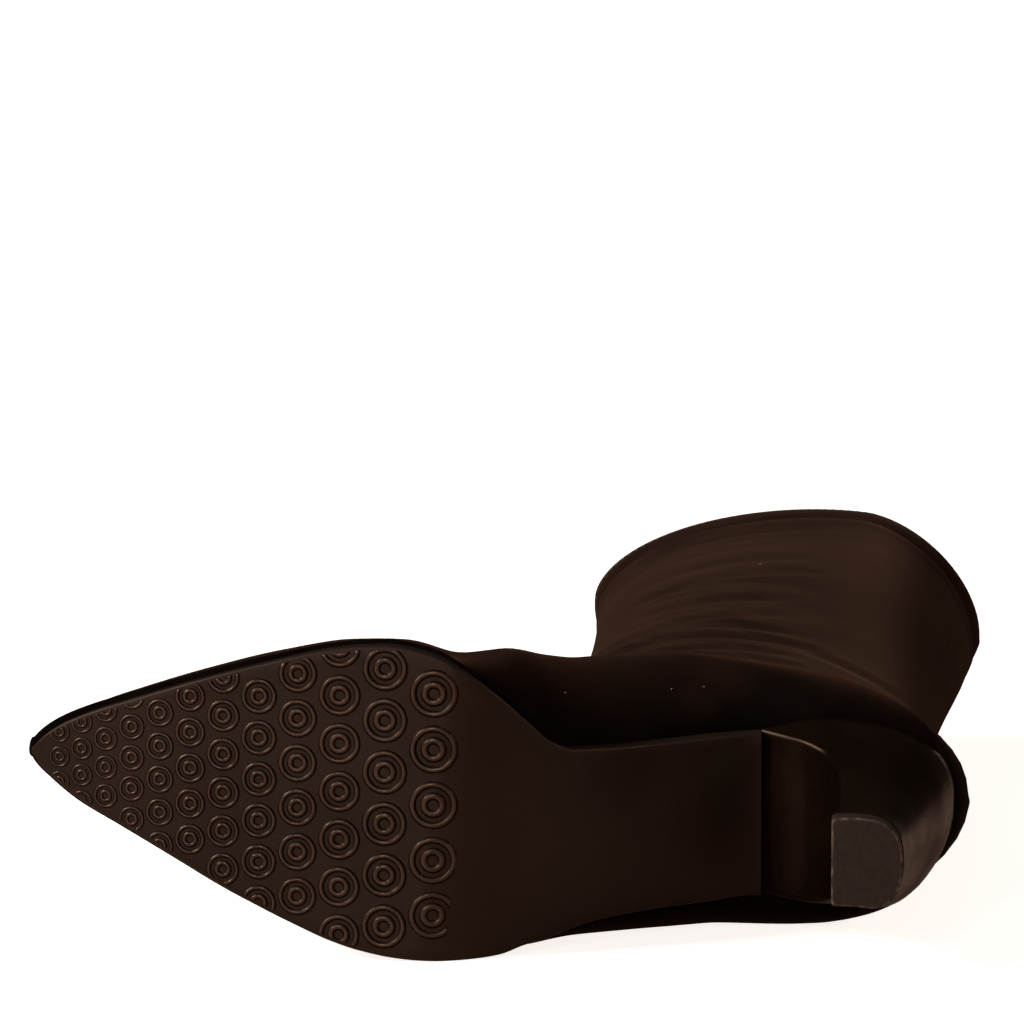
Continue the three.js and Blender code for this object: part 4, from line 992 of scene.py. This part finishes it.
# %% Build the outsole
SOLE_STEP = 1.25
POINTS_ACROSS = 25
EDGE_SHARES = (0.3, 0.7, 1)
EDGE_SLANT = 1.4  # how high the rounded edge rises, in widths of it
TIP_STEPS = (0, 0.15, 0.5, 1.0, 1.8, 2.8)  # sections near the tip, in millimetres from it
sole_tip = outline_at[-1]
sole_stations = np.concatenate([
    sole_tip - np.array(TIP_STEPS), np.arange(sole_tip - 4.0, SEAT_LENGTH, -SOLE_STEP), [SEAT_LENGTH]])
bevel = np.minimum(OUTSOLE_BEVEL, (sole_inner(sole_stations) - sole_outer(sole_stations)) / 4)
sole_rings = []
for x, cut in zip(sole_stations, bevel):
    inner, outer = sole_inner(x), sole_outer(x)
    rounded = [(EDGE_SLANT * cut * (1 - np.cos(share * np.pi / 2)), cut * np.sin(share * np.pi / 2))
               for share in EDGE_SHARES]
    ring = [(0.0, mix(outer + cut, inner - cut, share)) for share in np.linspace(0, 1, POINTS_ACROSS)]
    ring += [(up, inner - cut + out) for up, out in rounded]
    ring += [(OUTSOLE_THICKNESS, y) for y in (inner, (inner + outer) / 2, outer)]
    ring += [(up, outer + cut - out) for up, out in rounded[::-1]]
    up, y = np.array(ring).T
    sole_x, sole_z = above_sole(x, up)
    sole_rings.append(place(sole_x, y, sole_z))
sole = mesh_piece("outsole_rubber", *closed_loft(np.array(sole_rings)), [sole_rubber], smooth_angle=0.7)

# %% [markdown]
# ## Tread
# The raised figures are plain double rings in staggered rows, small at the toe and larger towards the
# ball. A figure that repeats so often is work for Geometry Nodes: one tree makes the two ribbons of a
# ring, each in a lighter rubber that is painted highlight and with a near-black band beside it that is
# painted shade, and sets a copy on every point of a list of places, each with its own size. They are made
# flat, cut ring by ring where they pass the border of the tread, and then laid on the curve of the sole.

# %% Places of the rings
TREAD_BACK = 134.5  # where the tread starts, behind the ball
TREAD_FRONT = 249.0
RING_AT_BACK = 15.4  # pitch of the rings there
RING_AT_FRONT = 6.2
RING_FILL = 0.75  # a ring's width as a share of the pitch
ROW_LEAN = 0.12
ROW_PITCH = 0.88  # from row to row, in pitches of the rings
RING_REACH = 0.36  # how far past the edge a ring may have its middle, in pitches
WIDEST_HALF = 60  # more than half the width of any sole, in millimetres
TREAD_RELIEF = 0.26
TREAD_MARGIN = 1.3

places, sizes = [], []
x = TREAD_BACK + 0.5 * RING_AT_BACK
odd = False
while x < TREAD_FRONT:
    pitch = mix(RING_AT_BACK, RING_AT_FRONT, (x - TREAD_BACK) / (TREAD_FRONT - TREAD_BACK))
    half_rows = int(WIDEST_HALF / pitch)
    for i in range(-half_rows, half_rows + 1):
        y = (i + (0.5 if odd else 0.0)) * pitch
        at_x = x + ROW_LEAN * y
        reach = RING_REACH * pitch
        if at_x <= sole_tip and sole_outer(at_x) - reach < y < sole_inner(at_x) + reach:
            places.append((at_x, y, 0.0))
            sizes.append(RING_FILL * pitch / 2)
    x += ROW_PITCH * pitch
    odd = not odd
print("rings in the tread:", len(places))


# %% Geometry nodes for the rings
def new_tree(name, inputs):
    """An empty node group with a mesh in, a mesh out and named number inputs."""
    tree = bpy.data.node_groups.new(name, "GeometryNodeTree")
    tree.interface.new_socket("Geometry", in_out="INPUT", socket_type="NodeSocketGeometry")
    for socket, value in inputs.items():
        made = tree.interface.new_socket(socket, in_out="INPUT", socket_type="NodeSocketFloat")
        made.default_value = value
    tree.interface.new_socket("Geometry", in_out="OUTPUT", socket_type="NodeSocketGeometry")
    return tree, tree.nodes.new("NodeGroupInput"), tree.nodes.new("NodeGroupOutput")


def bake(name, source, tree, values):
    """Runs a node tree on `source` with its inputs set, and returns the result as a plain mesh."""
    modifier = source.modifiers.new(tree.name, "NODES")
    modifier.node_group = tree
    for item in tree.interface.items_tree:
        if item.in_out == "INPUT" and item.name in values:
            modifier[item.identifier] = values[item.name]
    bpy.context.view_layer.update()
    graph = bpy.context.evaluated_depsgraph_get()
    mesh = bpy.data.meshes.new_from_object(source.evaluated_get(graph), depsgraph=graph)
    mesh.name = name
    source.modifiers.remove(modifier)
    bpy.data.objects.remove(source)
    return mesh


def set_points(name, points, value_name, values):
    """An object with only points, which carry a value."""
    mesh = bpy.data.meshes.new(name)
    mesh.from_pydata([tuple(point) for point in points], [], [])
    attribute = mesh.attributes.new(value_name, "FLOAT", "POINT")
    attribute.data.foreach_set("value", np.asarray(values, np.float32))
    return add_object(name, mesh)


def copies_on(tree, points, instance, **more):
    """The copies of `instance` on points, as one real mesh."""
    made = node(tree, "GeometryNodeInstanceOnPoints", {"Points": points, "Instance": instance, **more})
    real = node(tree, "GeometryNodeRealizeInstances", {"Geometry": made.outputs["Instances"]})
    return real.outputs["Geometry"]


def in_material(tree, mesh, material):
    """The same mesh in one material."""
    return node(tree, "GeometryNodeSetMaterial", {"Geometry": mesh, "Material": material}).outputs["Geometry"]


def sized(tree, x, y, z):
    """Three numbers or sockets as one vector."""
    return node(tree, "ShaderNodeCombineXYZ", {"X": x, "Y": y, "Z": z}).outputs["Vector"]


RING_STEPS = 26
CROWN_STEPS = 8  # points round the section of a ribbon
SHADE_LINE_STEPS = 4  # the same for the near-black band on both sides of it, painted shade at the ribbon's foot
ring_tree, ring_in, ring_out = new_tree(
    "double rings", {"Outer Ribbon": 0.2, "Inner Ring": 0.44, "Inner Ribbon": 0.24, "Outline": 0.16,
                     "Relief": 2.0, "Outline Relief": 0.12})


def ribbon(tree, radius, width, relief, steps, material):
    """A ring of radius `radius` with a domed ribbon for its section, in one material."""
    circle = node(tree, "GeometryNodeCurvePrimitiveCircle", {"Resolution": RING_STEPS, "Radius": radius})
    section = node(tree, "GeometryNodeCurvePrimitiveCircle", {"Resolution": steps, "Radius": 0.5})
    squeezed = node(tree, "GeometryNodeTransform",
                    {"Geometry": section.outputs["Curve"], "Scale": sized(tree, width, relief, 1.0)})
    sweep = node(tree, "GeometryNodeCurveToMesh",
                 {"Curve": circle.outputs["Curve"], "Profile Curve": squeezed.outputs["Geometry"]})
    return in_material(tree, sweep.outputs["Mesh"], material)


both = node(ring_tree, "GeometryNodeJoinGeometry")
for radius, width in ((1.0, "Outer Ribbon"), (ring_in.outputs["Inner Ring"], "Inner Ribbon")):
    wider = sum_or_product(ring_tree, "ADD", ring_in.outputs[width], ring_in.outputs["Outline"])
    for size, relief, steps, material in (
        (ring_in.outputs[width], "Relief", CROWN_STEPS, lit_tread_rubber),
        (wider, "Outline Relief", SHADE_LINE_STEPS, painted_shade_rubber),
    ):
        made = ribbon(ring_tree, radius, size, ring_in.outputs[relief], steps, material)
        feed(both.inputs["Geometry"], made)
size_read = node(ring_tree, "GeometryNodeInputNamedAttribute", {"Name": "size"}, data_type="FLOAT")
size = size_read.outputs["Attribute"]
rings_made = copies_on(
    ring_tree, ring_in.outputs["Geometry"], both.outputs["Geometry"], Scale=sized(ring_tree, size, size, 1.0))
feed(ring_out.inputs["Geometry"], rings_made)

# %% Make the rings, trim them and lay them on the sole
RING_POINTS = 2 * RING_STEPS * (CROWN_STEPS + SHADE_LINE_STEPS)
RING_SET_IN = 0.25  # how deep a ribbon reaches into the sole
LEAST_LEFT = 0.2  # a ring that keeps less than this share of its points is left out
DOME = 0.6  # below 1 the top of a ribbon is flatter than a half round
FROM_TIP = 1.5  # how near the tip the border's slope is still measured
ring_points = set_points("ring places", places, "size", sizes)
flat_rings = bake("tread_rings", ring_points, ring_tree, {"Relief": 2.0})


def border_lines(x):
    """The lines that bound the tread near x: a point of each and its outward direction."""
    step = 0.5
    lines = [((TREAD_BACK, 0.0), (-1.0, 0.0))]
    for edge, side in ((sole_inner, 1.0), (sole_outer, -1.0)):
        slope = float(edge(x + step) - edge(x - step)) / (2 * step)
        lines.append(((x, float(edge(x)) - side * TREAD_MARGIN), (-side * slope, side)))
    return lines


work = bmesh.new()
work.from_mesh(flat_rings)
work.verts.ensure_lookup_table()
all_points = list(work.verts)
for index, (x, y, _) in enumerate(places):
    ring = all_points[index * RING_POINTS:(index + 1) * RING_POINTS]
    for (at_x, at_y), (out_x, out_y) in border_lines(min(x, sole_tip - FROM_TIP)):
        ring = [point for point in ring if point.is_valid]
        beyond = [(p.co.x - at_x) * out_x + (p.co.y - at_y) * out_y > 0 for p in ring]
        if not any(beyond):
            continue
        if all(beyond):
            bmesh.ops.delete(work, geom=ring, context="VERTS")
            break
        faces = list({face for point in ring for face in point.link_faces})
        edges = list({edge for point in ring for edge in point.link_edges})
        cut = bmesh.ops.bisect_plane(
            work, geom=ring + edges + faces, plane_co=(at_x, at_y, 0.0), plane_no=(out_x, out_y, 0.0),
            clear_outer=True)["geom_cut"]
        bmesh.ops.edgeloop_fill(work, edges=[item for item in cut if isinstance(item, bmesh.types.BMEdge)])
        ring = [point for point in ring if point.is_valid]
        ring += [item for item in cut if isinstance(item, bmesh.types.BMVert)]
    left = [point for point in ring if point.is_valid]
    if 0 < len(left) < LEAST_LEFT * RING_POINTS:
        bmesh.ops.delete(work, geom=left, context="VERTS")
bmesh.ops.triangulate(work, faces=[face for face in work.faces if len(face.verts) > 4])
work.to_mesh(flat_rings)
work.free()

co = np.empty(len(flat_rings.vertices) * 3, np.float32)
flat_rings.vertices.foreach_get("co", co)
co = co.reshape(-1, 3).astype(float)
lift = np.clip(co[:, 2], -1.0, 1.0)
rise = np.where(lift > 0, -TREAD_RELIEF * np.abs(lift) ** DOME, RING_SET_IN * np.abs(lift))
co[:, 2] = sole_height(co[:, 0]) + rise
flat_rings.vertices.foreach_set("co", to_frame(co).astype(np.float32).ravel())
flat_rings.update()
tread = smooth_outwards(add_object("tread_rings", flat_rings))

# %% [markdown]
# ## Heel
# The heel block is moulded and lacquered: a scooped breast with a crisp edge, round behind, and pulled in
# below the seat. A glossy surface shows every flat facet, so its rings are fine and the edges of the
# breast are rounded with a small radius that catches a line of light.

# %% Lacquer
lacquer, tree, shader = new_material("heel lacquer", Specular_IOR_Level=0.1, Specular_Tint=(1.0, 0.62, 0.42))
space = in_space(tree)
ripples = bump(tree, noise(tree, space, 260.0, 2.0), 0.12, 0.0002)
mould_line = spread(tree, painted(tree, "mould_line"), 0.0, 1.0)
clouds = spread(tree, noise(tree, space, 45.0, 3.0), 0.3, 0.7)
feed_all(shader, Base_Color=blend(tree, clouds, (0.0035, 0.0016, 0.0008), (0.006, 0.0032, 0.0019)),
         Roughness=spread(tree, noise(tree, space, 120.0, 3.0), 0.3, 0.75, 0.24, 0.34),
         Normal=bump(tree, mould_line, 0.6, 0.0002, ripples))

# %% Build the heel
HEEL_WIDEST = 0.5
BREAST_EDGE = 1.6  # radius of the breast's edges
HEEL_ROWS = 96
FRONT_STEPS, BACK_STEPS, BREAST_STEPS = 10, 26, 30
heel_curves = {name: curve_through(HEEL["down"], column) for name, column in HEEL.items() if name != "down"}


def heel_ring(front, back, row, width, inset, hollow):
    """One section of the heel: scooped across the breast, round behind. front and back hold x and z."""
    inner, inner_wide = row["inner"] * width - inset, row["inner_wide"] * width - inset
    outer, outer_wide = row["outer"] * width + inset, row["outer_wide"] * width + inset
    rear = row["rear"] * width

    def at(y, t):
        return place(mix(front[0], back[0], t), y, mix(front[1], back[1], t))

    def side(corner, wide, roundness):
        t = HEEL_WIDEST * np.arange(FRONT_STEPS + 1) / FRONT_STEPS
        y = mix(corner, wide, np.sin(np.pi / 2 * np.arange(FRONT_STEPS + 1) / FRONT_STEPS))
        angle = np.pi / 2 * np.arange(1, BACK_STEPS) / BACK_STEPS
        power = 2 / roundness
        return (np.concatenate([y, mix(rear, wide, np.cos(angle) ** power)]),
                np.concatenate([t, mix(HEEL_WIDEST, 1.0, np.sin(angle) ** power)]))

    length = front[0] - back[0]
    inner_y, inner_t = side(inner, inner_wide, row["inner_round"])
    outer_y, outer_t = side(outer, outer_wide, row["outer_round"])
    share = np.arange(1, BREAST_STEPS) / BREAST_STEPS
    breast_y = mix(outer, inner, share)
    breast_t = hollow * 4 * share * (1 - share) / length
    y = np.concatenate([inner_y, [rear], outer_y[::-1], breast_y])
    t = np.concatenate([inner_t, [1.0], outer_t[::-1], breast_t])
    return at(y, t)


def round_corner(ring, corner, radius, spread_over=3):
    """Rounds one corner of a ring by easing the points beside it."""
    count = len(ring)
    before = ring[(corner - spread_over) % count]
    after = ring[(corner + spread_over) % count]
    here = ring[corner].copy()
    a, b = (here + (end - here) * min(1.0, radius / np.linalg.norm(end - here)) for end in (before, after))
    for k in range(-spread_over, spread_over + 1):
        t = (k + spread_over) / (2 * spread_over)
        ring[(corner + k) % count] = (1 - t) ** 2 * a + 2 * t * (1 - t) * here + t ** 2 * b


seat_front = above_sole(SEAT_LENGTH, OUTSOLE_THICKNESS)
seat_back = above_sole(TOP_PIECE_SETBACK * HEEL["back"][0], OUTSOLE_THICKNESS)
tip_front = TOP_PIECE_SETBACK + TOP_PIECE_LENGTH
heel_foot = TOP_PIECE_HEIGHT + CLEARANCE
heel_rings = []
for down in np.linspace(0, 1, HEEL_ROWS):
    row = {name: float(curve(down)) for name, curve in heel_curves.items()}
    width = mix(SEAT_WIDTH, TOP_PIECE_WIDTH, down)
    ring = heel_ring(
        (row["front"] * mix(seat_front[0] - CLEARANCE, tip_front, down), mix(seat_front[1], heel_foot, down)),
        (row["back"] * TOP_PIECE_SETBACK, mix(seat_back[1], heel_foot, down)),
        row, width, 0.0, BREAST_HOLLOW * np.sin(np.pi * down))
    outer_corner = 2 * (FRONT_STEPS + BACK_STEPS)
    round_corner(ring, 0, BREAST_EDGE)
    round_corner(ring, outer_corner, BREAST_EDGE)
    heel_rings.append(ring)
heel_rings = np.array(heel_rings)
MOULD_LINE_Y = -3.5
MOULD_LINE_HALF = 0.22
EDGE_POINTS = 4  # points at the corner that the line leaves free
on_breast = np.arange(heel_rings.shape[1]) >= outer_corner + EDGE_POINTS
line = on_breast * swell(heel_rings[..., 1] - MOULD_LINE_Y, MOULD_LINE_HALF)
heel = mesh_piece("heel_block", *closed_loft(heel_rings), [lacquer],
                  values={"mould_line": np.concatenate([line.ravel(), [0, 0]])}, smooth_angle=0.9)

# %% [markdown]
# ## Top piece
# The wearing piece under the heel is a small block of hard rubber. It is matte and its lower edge is
# scuffed to a paler grey-brown, so the mesh carries a value that is high near that edge.

# %% Worn rubber
worn_rubber, tree, shader = new_material("top piece rubber", Roughness=0.75, Specular_IOR_Level=0.2)
space = in_space(tree)
scuffs = noise(tree, space, 520.0, 5.0, 0.7)
scuffed = sum_or_product(tree, "MULTIPLY", spread(tree, painted(tree, "edge"), 0.35, 1.0),
                         spread(tree, scuffs, 0.38, 0.62))
plain = blend(tree, spread(tree, noise(tree, space, 700.0, 3.0), 0.3, 0.7),
              (0.0165, 0.0092, 0.006), (0.023, 0.0132, 0.0088))
feed_all(shader, Base_Color=blend(tree, scuffed, plain, (0.13, 0.095, 0.075)),
         Normal=bump(tree, scuffs, 0.5, 0.0001))

# %% Build the top piece
TOP_EDGE = 0.55
TOP_CORNER = 1.2  # radius of its upright corners
last = {name: column[-1] for name, column in HEEL.items()}
LEVELS = (  # height of a ring, how far it is set in, and how scuffed it is
    (0.0, TOP_EDGE + 5.0, 0), (0.0, TOP_EDGE + 3.0, 0), (0.0, TOP_EDGE + 1.6, 0), (0.0, TOP_EDGE + 0.9, 0.15),
    (0.0, 0.55, 0.55), (0.02, 0.4, 0.75), (0.12, 0.16, 0.75), (0.28, 0.04, 0.6), (0.55, 0.0, 0.25),
    (2.0, 0.0, 0.05), (4.0, 0.0, 0), (TOP_PIECE_HEIGHT, 0.0, 0))
top_rings = []
for z, cut, _ in LEVELS:
    ring = heel_ring(
        (tip_front - cut, z), (TOP_PIECE_SETBACK + cut, z), last, TOP_PIECE_WIDTH, cut, 0.0)
    round_corner(ring, 0, TOP_CORNER)
    round_corner(ring, outer_corner, TOP_CORNER)
    top_rings.append(ring)
edge_value = np.repeat([scuff for _, _, scuff in LEVELS], len(ring))
top_piece = mesh_piece("heel_top_piece", *closed_loft(np.array(top_rings)), [worn_rubber],
                       values={"edge": np.concatenate([edge_value, [0, 0]])})

# %% [markdown]
# ## Insole
# The board that the foot stands on only shows down the leg. Its solid has the right shape already, so it
# stays and only gets a finish: thin lining leather with a fine grain and lighter rubbed patches.

# %% Lining leather
sock, tree, shader = new_material("sock lining leather", Roughness=0.62, Specular_IOR_Level=0.25)
space = in_space(tree)
rubbed = spread(tree, noise(tree, space, 24.0, 3.0), 0.35, 0.65)
pores = bump(tree, noise(tree, space, 1500.0, 3.0, 0.6), 0.3, 0.0001)
feed_all(shader, Base_Color=blend(tree, rubbed, (0.05, 0.032, 0.022), (0.078, 0.052, 0.037)),
         Normal=bump(tree, noise(tree, space, 180.0, 3.0), 0.2, 0.0003, pores))
for held in frame["nodes"]["insole"].material_slots:
    held.material = sock
print("insole slots:", len(frame["nodes"]["insole"].material_slots))

# %% [markdown]
# ## Stitches
# There are two rows of stitches: one holds the turned band at the collar, close to its edge. The other,
# along the top of the foot part, is a guess. A stitch is a short grain of thread that lies in the cloth.
# One tree of Geometry Nodes runs a grain along any line, so the rows only differ in their line, their
# pitch and their thread.

# %% Thread and the tree for a row of stitches
thread, tree, shader = new_material("sewing thread", Roughness=0.6, Specular_IOR_Level=0.3)
feed_all(shader, Base_Color=blend(tree, noise(tree, in_space(tree), 900.0),
                                  (0.03, 0.016, 0.01), (0.075, 0.045, 0.03)))
stitch_tree, row_in, row_out = new_tree("stitch row", {"Pitch": 0.0026, "Grain": 0.0018, "Thread": 0.0005})
as_curve = node(stitch_tree, "GeometryNodeMeshToCurve", {"Mesh": row_in.outputs["Geometry"]})
even = node(stitch_tree, "GeometryNodeResampleCurve",
            {"Curve": as_curve.outputs["Curve"], "Length": row_in.outputs["Pitch"]}, mode="LENGTH")
grain = node(stitch_tree, "GeometryNodeMeshUVSphere", {"Segments": 8, "Rings": 6, "Radius": 0.5})
run = node(stitch_tree, "GeometryNodeInputTangent").outputs["Tangent"]
turned = node(stitch_tree, "FunctionNodeAlignRotationToVector", {"Vector": run}, axis="Z")
thick, long = row_in.outputs["Thread"], row_in.outputs["Grain"]
sewn = copies_on(stitch_tree, even.outputs["Curve"], grain.outputs["Mesh"],
                 Rotation=turned.outputs["Rotation"], Scale=sized(stitch_tree, thick, thick, long))
feed(row_out.inputs["Geometry"], in_material(stitch_tree, sewn, thread))


def stitch_row(name, line, **sizes):
    """Stitches along a closed line of points of the standing boot, in millimetres; sizes in metres."""
    mesh = bpy.data.meshes.new(name)
    mesh.from_pydata(to_frame(line).tolist(), [(i, (i + 1) % len(line)) for i in range(len(line))], [])
    sewn_mesh = bake(name, add_object(name, mesh), stitch_tree, sizes)
    return smooth_outwards(add_object(name, sewn_mesh))


# %% Sew the rows
COLLAR_ROW_DOWN = 2.2  # below the collar's edge
TOP_LINE_ROW_DOWN = 2.0  # below the top edge of the foot part


def line_on(skin_rings, down):
    """A line on a skin, `down` millimetres from its last ring, for each point of the ring."""
    steps = np.linalg.norm(np.diff(skin_rings[::-1], axis=0), axis=2)
    run = np.concatenate([0 * steps[:1], steps.cumsum(axis=0)])
    line = []
    for point in range(skin_rings.shape[1]):
        step = int(np.searchsorted(run[1:, point], down))
        share = (down - run[step, point]) / (run[step + 1, point] - run[step, point])
        line.append(mix(skin_rings[-1 - step, point], skin_rings[-2 - step, point], share))
    return np.array(line)


collar_stitches = stitch_row(
    "collar_stitches", line_on(leg_out, COLLAR_ROW_DOWN), Pitch=0.003, Grain=0.0021, Thread=0.00055)
top_line_stitches = stitch_row(
    "top_line_stitches", line_on(outer_skin, TOP_LINE_ROW_DOWN), Pitch=0.0024, Grain=0.0017, Thread=0.00045)

# %% [markdown]
# ## Lint
# Suede catches dust. A few pale specks, each about half a millimetre across, are set one by one on the inner
# side: some near where the photograph has them, the others elsewhere.

# %% Specks
fluff, tree, shader = new_material("lint", Roughness=0.9)
feed_all(shader, Base_Color=blend(tree, noise(tree, in_space(tree), 2500.0),
                                  (0.35, 0.27, 0.2), (0.6, 0.5, 0.42)))
LINT_SIZE = 0.55
RIM_POINTS = 5
RIM_LEAN = 0.1  # how far the rim of a speck leaves its plane, as a share of its radius
LINT_THICK = 0.3  # from the middle to the top, as a share of the size
OFF_SKIN = 0.1  # millimetres
LINT_ON = (  # a skin, and the x and z of its specks
    (outer_skin, ((86, 55.6), (77.3, 61.5), (39.4, 104), (115, 31), (25, 83))),
    (leg_out, ((3.6, 322), (70, 300))),
)
OTHER_SIDE = 1e3  # added to the distance of points on the outer side, so that none is chosen
lint_points, lint_faces = [], []
for skin_rings, spots in LINT_ON:
    skin_points = skin_rings.reshape(-1, 3)
    skin_normals = normals_of(skin_rings).reshape(-1, 3)
    for x, z in spots:
        far = np.hypot(skin_points[:, 0] - x, skin_points[:, 2] - z) + OTHER_SIDE * (skin_points[:, 1] <= 0)
        spot = int(np.argmin(far))
        normal = skin_normals[spot]
        middle = skin_points[spot] + OFF_SKIN * normal
        start = len(lint_points)
        for turn_by in np.linspace(0, 2 * np.pi, RIM_POINTS, endpoint=False):
            out = np.array([np.cos(turn_by), RIM_LEAN, np.sin(turn_by)])
            lint_points.append(middle + 0.5 * LINT_SIZE * out)
        lint_points += [middle + side * LINT_THICK * LINT_SIZE * normal for side in (1, -1)]
        for i in range(RIM_POINTS):
            a, b = start + i, start + (i + 1) % RIM_POINTS
            lint_faces += [(a, b, start + RIM_POINTS), (b, a, start + RIM_POINTS + 1)]
lint = mesh_piece("lint_specks", np.array(lint_points), lint_faces, [fluff], smooth_angle=1.5)

# %% [markdown]
# ## Tie the pieces to the frame
# Each piece rides with the boot's one body, and the solid that it stands for, where there is one, is
# hidden.

# %% Tie the pieces and hide their solids
for piece, solid, slot_name in (
    (upper, "upper", "foot_suede"), (leg, "leg", "leg_suede"), (sole, "outsole", "sole_rubber"),
    (heel, "heel", "heel_lacquer"), (top_piece, "top_piece", "top_piece_rubber"),
    (tread, None, "sole_rubber"),
    (collar_stitches, None, "leg_suede"), (top_line_stitches, None, "foot_suede"), (lint, None, "leg_suede"),
):
    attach(piece, "root")
    if solid is not None:
        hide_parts(solid)
